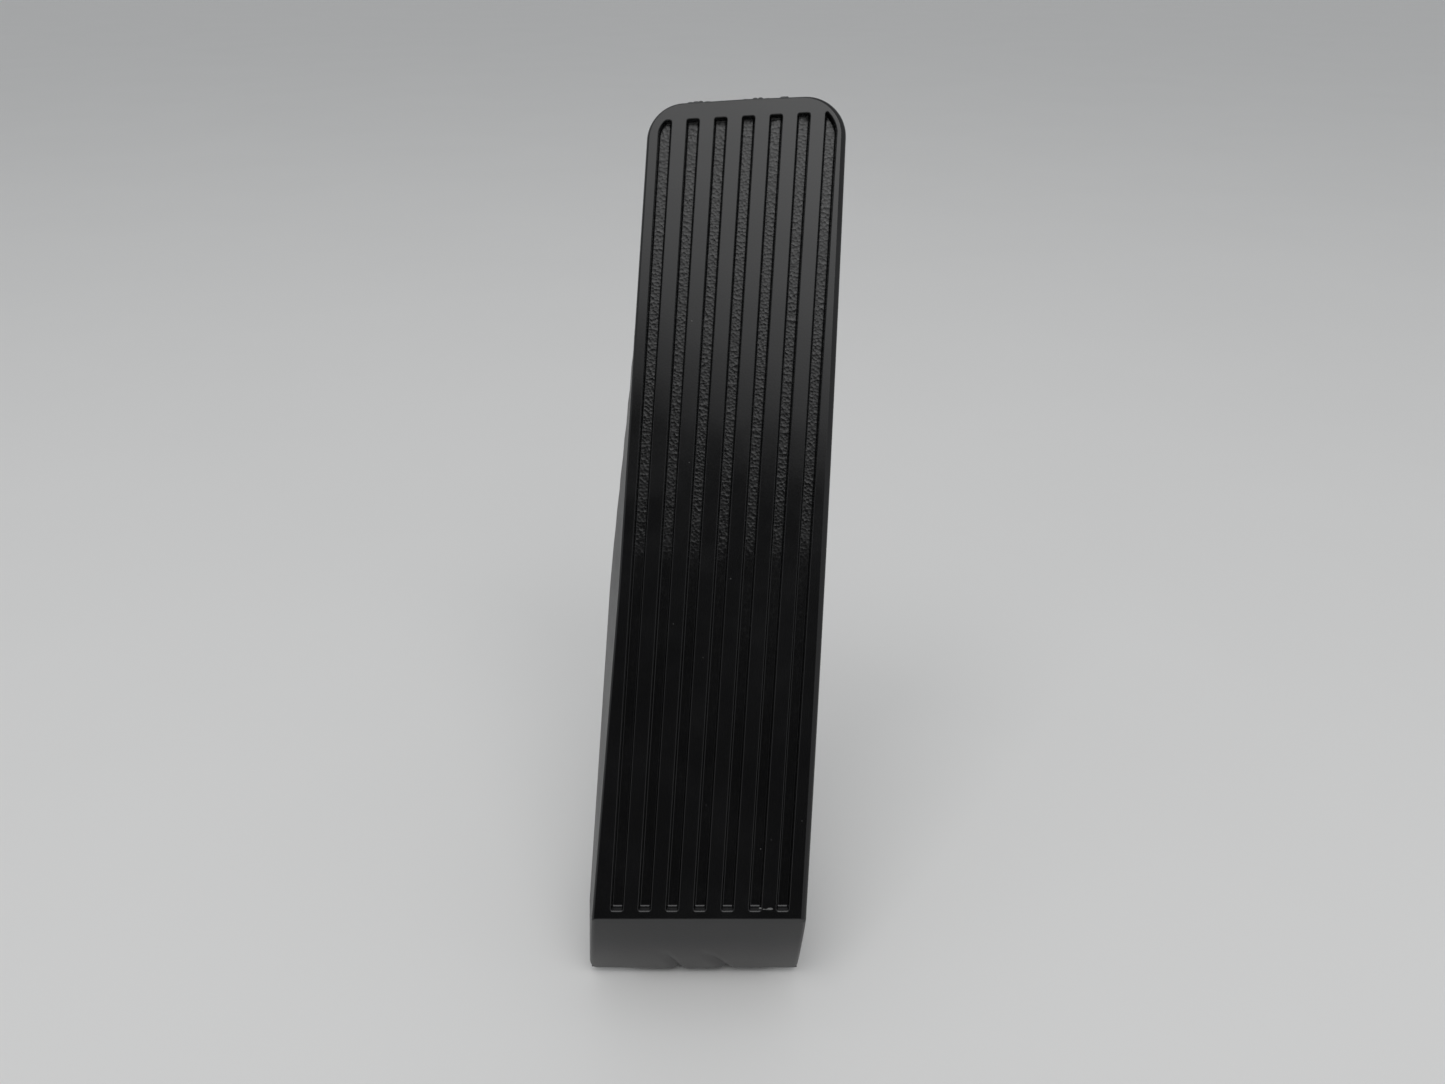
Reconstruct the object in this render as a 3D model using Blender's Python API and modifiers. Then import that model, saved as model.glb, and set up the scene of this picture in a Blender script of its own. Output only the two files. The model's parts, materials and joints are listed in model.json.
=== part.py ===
"""A floor-hinged accelerator pedal: a rubber tread on a steel pan, a sprung hinge and a push roller."""
import math

import bmesh
import bpy
from mathutils import Matrix, Vector

for old in list(bpy.data.objects):
    bpy.data.objects.remove(old, do_unlink=True)

MM = 0.001

# Fits shared by all pieces
FIT = 0.3 * MM
ROUND_STEPS = 24

# Stance of the pedal
PEDAL_ANGLE = math.radians(62.0)
PRESS_ANGLE = math.radians(18.0)
TOE_CLEARANCE = 1.5 * MM

# Tread face: it leans to the right, and its top edge rises to the right
FACE_LENGTH = 224.9 * MM
FOLD_WIDTH = 57.7 * MM
TOP_WIDTH = 54.6 * MM
TOP_LEAN = 12.95 * MM
TOP_RISE = 2.9 * MM
CORNER_RADIUS = 11.5 * MM
EDGE_CHAMFER = 0.7 * MM

# Rubber cover
RUBBER_FACE = 4.4 * MM
RUBBER_WALL = 2.8 * MM
WRAP_THICK = 1.9 * MM
WRAP_REACH = 3.5 * MM
WRAP_FROM = 165.0 * MM
SKIRT_DEPTH = 20.0 * MM
SKIRT_FULL_AT = 90.0 * MM
SKIRT_START_AT = 158.0 * MM
SKIRT_BLEND = 60.0 * MM
TOE_DROP = 21.1 * MM
FOLD_RADIUS = 0.8 * MM
LIP_RADIUS = 0.6 * MM
DRAFT_LEFT = math.radians(3.5)
DRAFT_RIGHT = math.radians(-3.5)
DRAFT_TOP = math.radians(3.0)
FLARE_LEFT = math.radians(11.7)
FLARE_START_AT = 166.0 * MM
FLARE_STEPS = 5
TOE_LEAN_LEFT = math.radians(7.5)
TOE_SPREAD = 1.5 * MM

# Grooves in the tread
GROOVES = 7
GROOVE_PITCH = 7.6 * MM
GROOVE_WIDTH = 3.4 * MM
GROOVE_DEPTH = 2.4 * MM
GROOVE_SHIFT = -0.65 * MM
GROOVE_LEAN = 0.0605
GROOVE_TOP_MARGIN = 4.6 * MM
GROOVE_TOE_MARGIN = 2.4 * MM
GROOVE_RIM = 2.5 * MM
GROOVE_CORNER_LEFT = 3.0 * MM
GROOVE_CORNER_RIGHT = 5.5 * MM

# Retaining buttons of the cover
BUTTON_STEM = 3.0 * MM
BUTTON_HEAD = 5.0 * MM
BUTTON_THICK = 2.2 * MM
BUTTON_ROOT = 1.0 * MM
BUTTON_SPREAD = 12.5 * MM
BUTTON_ROWS = (60.0 * MM, 112.0 * MM, FACE_LENGTH - 28.9 * MM)

# Pressed pan
PLATE_THICK = 1.5 * MM
FLANGE_HEIGHT = 9.0 * MM
FLANGE_FROM = 16.0 * MM
FLANGE_FULL_TO = 92.0 * MM
FLANGE_TO = 136.0 * MM
FLANGE_SET = 0.25 * MM
BEAD_HALF = 4.0 * MM
BEAD_HEIGHT = 2.0 * MM
BEAD_FROM = 44.0 * MM
BEAD_TO = 126.0 * MM
BEAD_OFF_ROLLER = 24.0 * MM
BEAD_TOP_MARGIN = 18.9 * MM

# Hinge
PIN_RADIUS = 4.0 * MM
YOKE_STEEL = 2.0 * MM
YOKE_HALF = 16.5 * MM
YOKE_LENGTH = 30.0 * MM
YOKE_EAR = 7.0 * MM
HEEL_REACH = 13.6 * MM
HEEL_RADIUS = 2.6 * MM
HEEL_DROP = math.radians(17.0)
BUSH_FLANGE = 1.1 * MM
BUSH_WALL = 1.3 * MM
BUSH_RIM = 1.9 * MM
SLEEVE_WALL = 1.7 * MM
CLIP_THICK = 1.0 * MM
CLIP_GROOVE = 0.9 * MM
CLIP_REACH = 2.8 * MM
PIN_TAIL = 1.2 * MM
PIN_CHAMFER = 0.5 * MM

# Return spring
WIRE = 1.1 * MM
WIRE_CLEARANCE = 0.5 * MM
COIL_GAP = 0.6 * MM
COIL_TURNS = 4
COIL_POINTS = 10
SPRING_ROOM = 1.4 * MM
UPPER_LEG = 26.0 * MM
LOWER_LEG = 34.0 * MM

# Floor bracket, pad and buffers
PAD_THICK = 2.0 * MM
PAD_MARGIN = 0.6 * MM
BRACKET_STEEL = 2.5 * MM
BRACKET_EAR = 8.2 * MM
BRACKET_FOOT = 96.0 * MM
BRACKET_WIDTH = 50.0 * MM
BRACKET_CORNER = 7.0 * MM
BRACKET_STEP = 2.0 * MM
BRACKET_LAP = 0.05 * MM
EAR_FOOT = 44.0 * MM
TOE_GAP = 1.0 * MM
BEND = 3.5 * MM
HOLE_RADIUS = 3.3 * MM
HOLE_SPREAD = 16.0 * MM
HOLE_ROWS = (54.0 * MM, 82.0 * MM)
BUFFER_WIDTH = 4.0 * MM
BUFFER_LENGTH = 9.0 * MM
BUFFER_CORNER = 1.0 * MM

# Roller group
ROLLER_AT = 150.0 * MM
ROLLER_RADIUS = 8.5 * MM
ROLLER_WIDTH = 13.0 * MM
ROLLER_PIN = 2.5 * MM
ROLLER_ROOM = 2.4 * MM
ROLLER_SIDE = 0.5 * MM
ROLLER_STEEL = 1.8 * MM
ROLLER_BASE = 30.0 * MM
ROLLER_EAR = 5.5 * MM
ROLLER_HEAD = 4.2 * MM
ROLLER_HEAD_THICK = 1.6 * MM
ROLLER_HEAD_RIM = 1.0 * MM
ROLLER_CROWN = 0.8 * MM

# Rivets
RIVET_RADIUS = 2.0 * MM
RIVET_SINK = 3.2 * MM
RIVET_HEAD = 2.5 * MM
RIVET_DOME = 1.3 * MM
YOKE_RIVET_SPREAD = 10.2 * MM
YOKE_RIVET_ROWS = (5.0 * MM, YOKE_LENGTH - 7.0 * MM)
ROLLER_RIVET_SPREAD = 10.5 * MM

# Depths behind the face, and the hinge below them
PLATE_FRONT = RUBBER_FACE + FIT
PLATE_BACK = PLATE_FRONT + PLATE_THICK
POCKET = PLATE_BACK + FIT
YOKE_BACK = POCKET + YOKE_STEEL
SLEEVE_RADIUS = PIN_RADIUS + FIT + SLEEVE_WALL
COIL_RADIUS = SLEEVE_RADIUS + WIRE_CLEARANCE + WIRE
HINGE_DEPTH = YOKE_BACK + SPRING_ROOM + WIRE + COIL_RADIUS
DEPTH_AT_TOP = POCKET + WRAP_THICK
FACE_Z = HINGE_DEPTH

# Stack along the hinge axis
YOKE_IN = YOKE_HALF - YOKE_STEEL
BUSH_IN = YOKE_HALF + FIT
EAR_IN = BUSH_IN + BUSH_FLANGE + FIT
EAR_OUT = EAR_IN + BRACKET_STEEL
CLIP_IN = EAR_OUT + 2 * FIT
CLIP_OUT = CLIP_IN + CLIP_THICK
PIN_END = CLIP_OUT + FIT + PIN_TAIL
BUSH_BORE = PIN_RADIUS + FIT
BUSH_RADIUS = BUSH_BORE + BUSH_WALL

collection = bpy.data.collections.new("accelerator_pedal")
bpy.context.scene.collection.children.link(collection)
cutters = bpy.data.collections.new("cutters")
cutters.hide_render = True
bpy.context.scene.collection.children.link(cutters)


def swing(y, z, angle=PEDAL_ANGLE):
    """A point of the pedal's side view, seen from the hinge in world directions."""
    return (y * math.cos(angle) - z * math.sin(angle), y * math.sin(angle) + z * math.cos(angle))


TOE_Y, TOE_Z = swing(-TOE_DROP, FACE_Z - SKIRT_DEPTH)
HINGE_Z = TOE_CLEARANCE - TOE_Z
PAD_TOP = PAD_THICK - HINGE_Z
STEEL_LOW = PAD_TOP + FIT
STEEL_TOP = STEEL_LOW + BRACKET_STEEL


def toe_inner(depth):
    """How far up the pedal the inner side of the toe lip lies, at a depth behind the face."""
    slope = TOE_DROP / SKIRT_DEPTH
    return -depth * slope + RUBBER_WALL * math.hypot(1.0, slope)


def toe_inner_world(height):
    """Where the inner side of the toe lip stands, at a height seen from the hinge."""
    upper = swing(toe_inner(0.0), FACE_Z)
    lower = swing(toe_inner(SKIRT_DEPTH), FACE_Z - SKIRT_DEPTH)
    part = (height - lower[1]) / (upper[1] - lower[1])
    return lower[0] + part * (upper[0] - lower[0])


BASE_FRONT = max(toe_inner_world(STEEL_LOW), toe_inner_world(STEEL_TOP)) + TOE_GAP
HINGE_Y = -(BASE_FRONT + BRACKET_FOOT / 2)

pivot = bpy.data.objects.new("pedal_pivot", None)
pivot.location = (0.0, HINGE_Y, HINGE_Z)
pivot.rotation_euler = (PEDAL_ANGLE, 0.0, 0.0)
collection.objects.link(pivot)
floor = bpy.data.objects.new("floor_datum", None)
floor.location = (0.0, HINGE_Y, HINGE_Z)
collection.objects.link(floor)
bpy.context.view_layer.update()

PLANE_XY = Matrix.Identity(4)
PLANE_YZ = Matrix(((0, 0, 1, 0), (1, 0, 0, 0), (0, 1, 0, 0), (0, 0, 0, 1)))
PLANE_XZ = Matrix(((1, 0, 0, 0), (0, 0, -1, 0), (0, 1, 0, 0), (0, 0, 0, 1)))


def material(name, colour, metallic, roughness):
    """A plain Principled material."""
    made = bpy.data.materials.new(name)
    made.use_nodes = True
    node = made.node_tree.nodes["Principled BSDF"]
    node.inputs["Base Color"].default_value = (*colour, 1.0)
    node.inputs["Metallic"].default_value = metallic
    node.inputs["Roughness"].default_value = roughness
    return made


def smooth(mesh):
    """Shades a round piece smooth with its edges kept sharp."""
    mesh.shade_smooth()
    mesh.set_sharp_from_angle(angle=math.radians(35.0))


def piece(name, mesh, parent, look, rounded=False):
    """A finished sub-part under its parent empty."""
    obj = bpy.data.objects.new(name, mesh)
    mesh.name = name
    mesh.materials.clear()
    mesh.materials.append(look)
    if rounded:
        smooth(mesh)
    collection.objects.link(obj)
    obj.parent = parent
    return obj


def helper(name, mesh, parent):
    """A hidden solid that only cuts, trims or joins another."""
    obj = bpy.data.objects.new(name, mesh)
    mesh.name = name
    cutters.objects.link(obj)
    obj.hide_render = True
    obj.display_type = "WIRE"
    obj.parent = parent
    return obj


def boolean(target, other, operation):
    """Adds one exact Boolean to a piece."""
    step = target.modifiers.new(other.name, "BOOLEAN")
    step.operation = operation
    step.object = other
    step.solver = "EXACT"


def weld(mesh):
    """Closes the seams of a mesh that came from a curve or a screw."""
    work = bmesh.new()
    work.from_mesh(mesh)
    bmesh.ops.remove_doubles(work, verts=work.verts, dist=1e-6)
    bmesh.ops.recalc_face_normals(work, faces=work.faces)
    work.to_mesh(mesh)
    work.free()


def meshed(obj):
    """The evaluated mesh of a curve or modified object, which is then removed."""
    bpy.context.view_layer.update()
    mesh = bpy.data.meshes.new_from_object(obj.evaluated_get(bpy.context.evaluated_depsgraph_get()))
    data = obj.data
    bpy.data.objects.remove(obj, do_unlink=True)
    if isinstance(data, bpy.types.Curve):
        bpy.data.curves.remove(data)
    else:
        bpy.data.meshes.remove(data)
    weld(mesh)
    return mesh


def prism(outlines, low, high, plane):
    """Flat outlines given a thickness from low to high, square to a plane."""
    curve = bpy.data.curves.new("outline", "CURVE")
    curve.dimensions = "2D"
    curve.fill_mode = "BOTH"
    curve.extrude = (high - low) / 2
    for outline in outlines:
        spline = curve.splines.new("POLY")
        spline.points.add(len(outline) - 1)
        for point, (u, v) in zip(spline.points, outline):
            point.co = (u, v, 0.0, 1.0)
        spline.use_cyclic_u = True
    obj = bpy.data.objects.new("outline", curve)
    bpy.context.scene.collection.objects.link(obj)
    mesh = meshed(obj)
    mesh.transform(plane @ Matrix.Translation((0.0, 0.0, (high + low) / 2)))
    return mesh


def turned(profile, plane=PLANE_XY, steps=ROUND_STEPS):
    """A profile of (radius, height) points turned about the plane's third axis."""
    mesh = bpy.data.meshes.new("profile")
    closed = profile[0][0] > 0 and profile[-1][0] > 0
    edges = [(i, i + 1) for i in range(len(profile) - 1)]
    if closed:
        edges.append((len(profile) - 1, 0))
    mesh.from_pydata([(r, 0.0, h) for r, h in profile], edges, [])
    obj = bpy.data.objects.new("profile", mesh)
    bpy.context.scene.collection.objects.link(obj)
    screw = obj.modifiers.new("turn", "SCREW")
    screw.axis = "Z"
    screw.steps = steps
    screw.render_steps = steps
    screw.use_merge_vertices = True
    screw.merge_threshold = 1e-6
    made = meshed(obj)
    made.transform(plane)
    return made


def copies(mesh, places):
    """One mesh with a copy of a shape at each place."""
    work = bmesh.new()
    for place in places:
        single = mesh.copy()
        single.transform(Matrix.Translation(place))
        work.from_mesh(single)
        bpy.data.meshes.remove(single)
    made = bpy.data.meshes.new("copies")
    work.to_mesh(made)
    work.free()
    return made


def loft(rings):
    """A solid skin through rings of equal length, closed at both ends."""
    work = bmesh.new()
    rows = [[work.verts.new(point) for point in ring] for ring in rings]
    count = len(rings[0])
    for upper, lower in zip(rows, rows[1:]):
        for i in range(count):
            j = (i + 1) % count
            work.faces.new((upper[i], upper[j], lower[j], lower[i]))
    work.faces.new(rows[0])
    work.faces.new(list(reversed(rows[-1])))
    bmesh.ops.recalc_face_normals(work, faces=work.faces)
    mesh = bpy.data.meshes.new("loft")
    work.to_mesh(mesh)
    work.free()
    return mesh


def rounded(corners, steps=6):
    """An outline of (u, v, radius) corners with its corners rounded."""
    points = []
    for i, (u, v, radius) in enumerate(corners):
        here = Vector((u, v))
        if radius <= 0:
            points.append((u, v))
            continue
        back = (Vector(corners[i - 1][:2]) - here).normalized()
        ahead = (Vector(corners[(i + 1) % len(corners)][:2]) - here).normalized()
        half = back.angle(ahead) / 2
        centre = here + (back + ahead).normalized() * radius / math.sin(half)
        start = here + back * radius / math.tan(half) - centre
        turn = start.angle_signed(here + ahead * radius / math.tan(half) - centre)
        for k in range(steps + 1):
            arm = start.copy()
            arm.rotate(Matrix.Rotation(-turn * k / steps, 2))
            points.append(tuple(centre + arm))
    return points


def circle(u, v, radius, steps=ROUND_STEPS):
    """A round hole in a flat outline."""
    return [
        (u + radius * math.cos(2 * math.pi * i / steps), v + radius * math.sin(2 * math.pi * i / steps))
        for i in range(steps)
    ]


def arc(centre, radius, start, end, steps=6):
    """Points on a circle of a side view from one angle to another."""
    turns = [start + (end - start) * k / steps for k in range(steps + 1)]
    return [(centre[0] + radius * math.cos(turn), centre[1] + radius * math.sin(turn)) for turn in turns]


def eared(centre, radius, tip, tip_radius, start, end):
    """The side view round an ear and the smaller tip that hangs from it, from a start to an end angle."""
    along = Vector(tip) - Vector(centre)
    heading = math.atan2(along.y, along.x) + 2 * math.pi
    lean = math.acos((radius - tip_radius) / along.length)
    return (
        arc(centre, radius, start, heading - lean)
        + arc(tip, tip_radius, heading - lean, heading + lean)
        + arc(centre, radius, heading + lean, end)
    )


LEFT_SLOPE = (TOP_LEAN - TOP_WIDTH / 2 + FOLD_WIDTH / 2) / FACE_LENGTH
RIGHT_SLOPE = (TOP_LEAN + TOP_WIDTH / 2 - FOLD_WIDTH / 2) / FACE_LENGTH
TOP_SLOPE = TOP_RISE / TOP_WIDTH


def left_edge(y, inset):
    """The left edge of the tread, set in from its outline."""
    return -FOLD_WIDTH / 2 + LEFT_SLOPE * y + inset * math.hypot(1.0, LEFT_SLOPE)


def right_edge(y, inset):
    """The right edge of the tread, set in from its outline."""
    return FOLD_WIDTH / 2 + RIGHT_SLOPE * y - inset * math.hypot(1.0, RIGHT_SLOPE)


def middle(y):
    """The middle line of the tread."""
    return (left_edge(y, 0.0) + right_edge(y, 0.0)) / 2


def left_side(y, inset):
    """The cover's left edge: it spreads a little along the deep skirt and runs straight down the toe lip."""
    up = max(0.0, y)
    return left_edge(up, inset) - TOE_SPREAD * max(0.0, 1 - up / SKIRT_FULL_AT)


def right_side(y, inset):
    """The cover's right edge, which runs straight down the toe lip."""
    return right_edge(max(0.0, y), inset)


def left_lean(y):
    """How far the left wall stands out per depth: a slight draft at the top, most where the skirt is deep."""
    if y < SKIRT_FULL_AT:
        angle = TOE_LEAN_LEFT + (FLARE_LEFT - TOE_LEAN_LEFT) * max(0.0, y) / SKIRT_FULL_AT
    else:
        part = min(1.0, max(0.0, (FLARE_START_AT - y) / (FLARE_START_AT - SKIRT_FULL_AT)))
        angle = DRAFT_LEFT + (FLARE_LEFT - DRAFT_LEFT) * math.sin(part * math.pi / 2)
    return math.tan(angle)


def top_corners(left, right, top):
    """Where the tread's side and top edges meet, each edge set in by its own amount."""
    base = FACE_LENGTH - TOP_SLOPE * TOP_LEAN - top * math.hypot(1.0, TOP_SLOPE)
    left_y = (base + TOP_SLOPE * left_edge(0.0, left)) / (1 - TOP_SLOPE * LEFT_SLOPE)
    right_y = (base + TOP_SLOPE * right_edge(0.0, right)) / (1 - TOP_SLOPE * RIGHT_SLOPE)
    return (left_edge(left_y, left), left_y), (right_edge(right_y, right), right_y)


def tread_outline(inset, start, depth=None):
    """The tread's outline from a start line to its top, set in; with a depth, its sides lean and spread."""
    deep = depth or 0.0
    left, right = inset - deep * math.tan(DRAFT_LEFT), inset - deep * math.tan(DRAFT_RIGHT)
    left_top, right_top = top_corners(left, right, inset - deep * math.tan(DRAFT_TOP))
    radius = CORNER_RADIUS - min(inset, CORNER_RADIUS * 0.8)
    top = [(*right_top, radius), (*left_top, radius)]
    if depth is None:
        foot = [(left_edge(start, inset), start, 0.0), (right_edge(start, inset), start, 0.0)]
        return rounded(foot + top, steps=8)
    foot = [(right_side(y, right), y, 0.0) for y in (start, 0.0)]
    step = (FLARE_START_AT - SKIRT_FULL_AT) / FLARE_STEPS
    flank = [FLARE_START_AT - step * k for k in range(FLARE_STEPS + 1)] + [0.0, start]
    side = [(left_side(y, inset - deep * left_lean(y)), y, 0.0) for y in flank]
    return rounded(foot + top + side, steps=8)


def tread_block(inset, start, low, high, drafted=True):
    """A solid inside the tread's outline between two depths behind the face."""
    rings = []
    for depth in (low, high):
        outline = tread_outline(inset, start, depth if drafted else None)
        rings.append([(x, y, FACE_Z - depth) for x, y in outline])
    return loft(rings)


# Looks
rubber = material("black_rubber", (0.012, 0.012, 0.013), 0.0, 0.45)
pan_steel = material("painted_steel", (0.03, 0.03, 0.032), 0.2, 0.5)
yoke_steel = material("yellow_zinc", (0.55, 0.45, 0.25), 0.9, 0.35)
pin_steel = material("bright_steel", (0.6, 0.6, 0.61), 1.0, 0.25)
spring_steel = material("spring_steel", (0.18, 0.18, 0.19), 0.9, 0.35)
nylon = material("natural_nylon", (0.75, 0.73, 0.66), 0.0, 0.45)
clip_steel = material("phosphated_steel", (0.08, 0.08, 0.085), 0.8, 0.45)
rivet_steel = material("rivet_steel", (0.5, 0.5, 0.51), 1.0, 0.35)
soft_rubber = material("buffer_rubber", (0.02, 0.02, 0.021), 0.0, 0.7)

# Cover: a drafted block trimmed to its side view, hollowed, grooved, with buttons behind it
OVER = 2.0 * MM
TRIM = 6.0 * MM
REAR = SKIRT_DEPTH + TRIM
START = -TOE_DROP - TRIM
SIDE_REACH = FOLD_WIDTH + TOP_LEAN
rings = [
    [(x, y, FACE_Z + OVER) for x, y in tread_outline(EDGE_CHAMFER + OVER, START, 0.0)],
    [(x, y, FACE_Z - EDGE_CHAMFER) for x, y in tread_outline(0.0, START, 0.0)],
    [(x, y, FACE_Z - REAR) for x, y in tread_outline(0.0, START, REAR)],
]
cover = piece("tread_cover", loft(rings), pivot, rubber)
FAR = FACE_LENGTH + TOP_RISE + TRIM
side_view = rounded(
    [
        (0.0, FACE_Z, FOLD_RADIUS),
        (FAR, FACE_Z, 0.0),
        (FAR, FACE_Z - DEPTH_AT_TOP, 0.0),
        (SKIRT_START_AT, FACE_Z - DEPTH_AT_TOP, SKIRT_BLEND),
        (SKIRT_FULL_AT, FACE_Z - SKIRT_DEPTH, SKIRT_BLEND),
        (-TOE_DROP, FACE_Z - SKIRT_DEPTH, LIP_RADIUS),
    ],
    steps=5,
)
cover_side = helper("cover_side_view", prism([side_view], -SIDE_REACH, SIDE_REACH, PLANE_YZ), pivot)
boolean(cover, cover_side, "INTERSECT")
hollow = helper("cover_hollow", tread_block(RUBBER_WALL, START, RUBBER_FACE - OVER, REAR), pivot)
hollow_view = [
    (toe_inner(RUBBER_FACE), FACE_Z - RUBBER_FACE),
    (FAR, FACE_Z - RUBBER_FACE),
    (FAR, FACE_Z - POCKET),
    (WRAP_FROM, FACE_Z - POCKET),
    (WRAP_FROM, FACE_Z - REAR - OVER),
    (toe_inner(REAR + OVER), FACE_Z - REAR - OVER),
]
hollow_side = helper("hollow_side_view", prism([hollow_view], -SIDE_REACH, SIDE_REACH, PLANE_YZ), pivot)
boolean(hollow, hollow_side, "INTERSECT")
boolean(cover, hollow, "DIFFERENCE")
back_way = tread_block(RUBBER_WALL + WRAP_REACH, SKIRT_FULL_AT, POCKET - FIT, REAR, drafted=False)
boolean(cover, helper("cover_back_way", back_way, pivot), "DIFFERENCE")

groove_shapes = []
for i in range(GROOVES):
    centre = GROOVE_SHIFT + (i - (GROOVES - 1) / 2) * GROOVE_PITCH
    low, high = centre - GROOVE_WIDTH / 2, centre + GROOVE_WIDTH / 2
    groove_shapes.append(
        [
            (low + GROOVE_LEAN * GROOVE_TOE_MARGIN, GROOVE_TOE_MARGIN),
            (high + GROOVE_LEAN * GROOVE_TOE_MARGIN, GROOVE_TOE_MARGIN),
            (high + GROOVE_LEAN * FAR, FAR),
            (low + GROOVE_LEAN * FAR, FAR),
        ]
    )
grooves = helper("grooves", prism(groove_shapes, FACE_Z - GROOVE_DEPTH, FACE_Z + OVER, PLANE_XY), pivot)
limit_left, limit_right = top_corners(GROOVE_RIM, GROOVE_RIM, GROOVE_TOP_MARGIN)
groove_limit = [
    (left_edge(START, GROOVE_RIM), START, 0.0),
    (right_edge(START, GROOVE_RIM), START, 0.0),
    (*limit_right, GROOVE_CORNER_RIGHT),
    (*limit_left, GROOVE_CORNER_LEFT),
]
rim_block = prism([rounded(groove_limit)], FACE_Z - GROOVE_DEPTH - OVER, FACE_Z + 2 * OVER, PLANE_XY)
boolean(grooves, helper("groove_rim", rim_block, pivot), "INTERSECT")
boolean(cover, grooves, "DIFFERENCE")

BUTTON_PLACES = [
    (middle(row) + side * BUTTON_SPREAD, row) for row in BUTTON_ROWS for side in (-1, 1)
]
button = turned(
    [
        (0.0, FACE_Z - RUBBER_FACE + BUTTON_ROOT),
        (BUTTON_STEM, FACE_Z - RUBBER_FACE + BUTTON_ROOT),
        (BUTTON_STEM, FACE_Z - POCKET),
        (BUTTON_HEAD, FACE_Z - POCKET),
        (BUTTON_HEAD, FACE_Z - POCKET - BUTTON_THICK * 0.4),
        (BUTTON_STEM, FACE_Z - POCKET - BUTTON_THICK),
        (0.0, FACE_Z - POCKET - BUTTON_THICK),
    ],
    steps=16,
)
buttons = helper("buttons", copies(button, [(x, y, 0.0) for x, y in BUTTON_PLACES]), pivot)
boolean(cover, buttons, "UNION")

# Pan: a plate inside the cover, holed for the buttons, with a flange along each side
WALL_LEAN = max(0.0, -math.tan(DRAFT_RIGHT))
PAN_INSET = RUBBER_WALL + FIT + WALL_LEAN * PLATE_BACK
FLANGE_INSET = PAN_INSET + FLANGE_SET + WALL_LEAN * FLANGE_HEIGHT
PAN_START = toe_inner(PLATE_FRONT) + FIT
plate_outlines = [tread_outline(PAN_INSET, PAN_START)]
for x, y in BUTTON_PLACES:
    plate_outlines.append(circle(x, y, BUTTON_STEM + FIT, 16))
plate = piece(
    "pedal_plate",
    prism(plate_outlines, FACE_Z - PLATE_BACK, FACE_Z - PLATE_FRONT, PLANE_XY),
    pivot,
    pan_steel,
)
flange_view = [
    (FLANGE_FROM, FACE_Z - PLATE_BACK + PLATE_THICK / 2),
    (FLANGE_TO, FACE_Z - PLATE_BACK + PLATE_THICK / 2),
    (FLANGE_TO, FACE_Z - PLATE_BACK - PLATE_THICK),
    (FLANGE_FULL_TO, FACE_Z - PLATE_BACK - FLANGE_HEIGHT),
    (FLANGE_FROM, FACE_Z - PLATE_BACK - FLANGE_HEIGHT),
]
flange_side = helper("flange_side_view", prism([flange_view], -SIDE_REACH, SIDE_REACH, PLANE_YZ), pivot)
flange_low = FLANGE_FROM - OVER
flange_high = FLANGE_TO + OVER
for name, edge in (("flange_left", left_edge), ("flange_right", right_edge)):
    strip = [
        (edge(flange_low, FLANGE_INSET), flange_low),
        (edge(flange_low, FLANGE_INSET + PLATE_THICK), flange_low),
        (edge(flange_high, FLANGE_INSET + PLATE_THICK), flange_high),
        (edge(flange_high, FLANGE_INSET), flange_high),
    ]
    flange = helper(name, prism([strip], FACE_Z - REAR, FACE_Z, PLANE_XY), pivot)
    boolean(flange, flange_side, "INTERSECT")
    boolean(plate, flange, "UNION")


def bead(span, half):
    """The outline of a pressed bead along the middle line, rounded at both ends."""
    low, high = Vector((middle(span[0]), span[0])), Vector((middle(span[1]), span[1]))
    heading = math.atan2(high.y - low.y, high.x - low.x)
    quarter = math.pi / 2
    start = arc(low, half, heading + quarter, heading + 3 * quarter)
    return start + arc(high, half, heading - quarter, heading + quarter)


def bead_solid(span, wide, narrow, top, crest):
    """A bead's solid, wide at the plate and narrower at its crest."""
    return loft(
        [
            [(x, y, FACE_Z - top) for x, y in bead(span, wide)],
            [(x, y, FACE_Z - crest) for x, y in bead(span, narrow)],
        ]
    )


BEAD_SPANS = ((BEAD_FROM, BEAD_TO), (ROLLER_AT + BEAD_OFF_ROLLER, FACE_LENGTH - BEAD_TOP_MARGIN))
for k, span in enumerate(BEAD_SPANS):
    crest = PLATE_BACK + BEAD_HEIGHT
    wide_foot = BEAD_HALF + BEAD_HEIGHT / 2
    ridge = bead_solid(span, wide_foot, BEAD_HALF - BEAD_HEIGHT / 2, PLATE_BACK - PLATE_THICK / 2, crest)
    boolean(plate, helper(f"bead_ridge_{k + 1}", ridge, pivot), "UNION")
    sunk = bead_solid(span, BEAD_HALF, BEAD_HALF - BEAD_HEIGHT, PLATE_FRONT - OVER, crest - PLATE_THICK)
    boolean(plate, helper(f"bead_hollow_{k + 1}", sunk, pivot), "DIFFERENCE")


def rivet(front, back, grow=0.0):
    """A countersunk rivet's profile from a flush front to a domed back, or its hole."""
    low = back - RIVET_DOME
    ahead = FIT * (1 if grow else 0)
    sink = RIVET_SINK - RIVET_RADIUS
    points = [
        (0.0, front + ahead),
        (RIVET_SINK + grow + ahead, front + ahead),
        (RIVET_RADIUS + grow, front - sink),
    ]
    if grow:
        return points + [(RIVET_RADIUS + grow, low - OVER), (0.0, low - OVER)]
    return points + [
        (RIVET_RADIUS, back - FIT),
        (RIVET_HEAD, back - FIT),
        (RIVET_HEAD * 0.8, low),
        (RIVET_HEAD * 0.4, low - RIVET_DOME * 0.3),
        (0.0, low - RIVET_DOME * 0.3),
    ]


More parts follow.
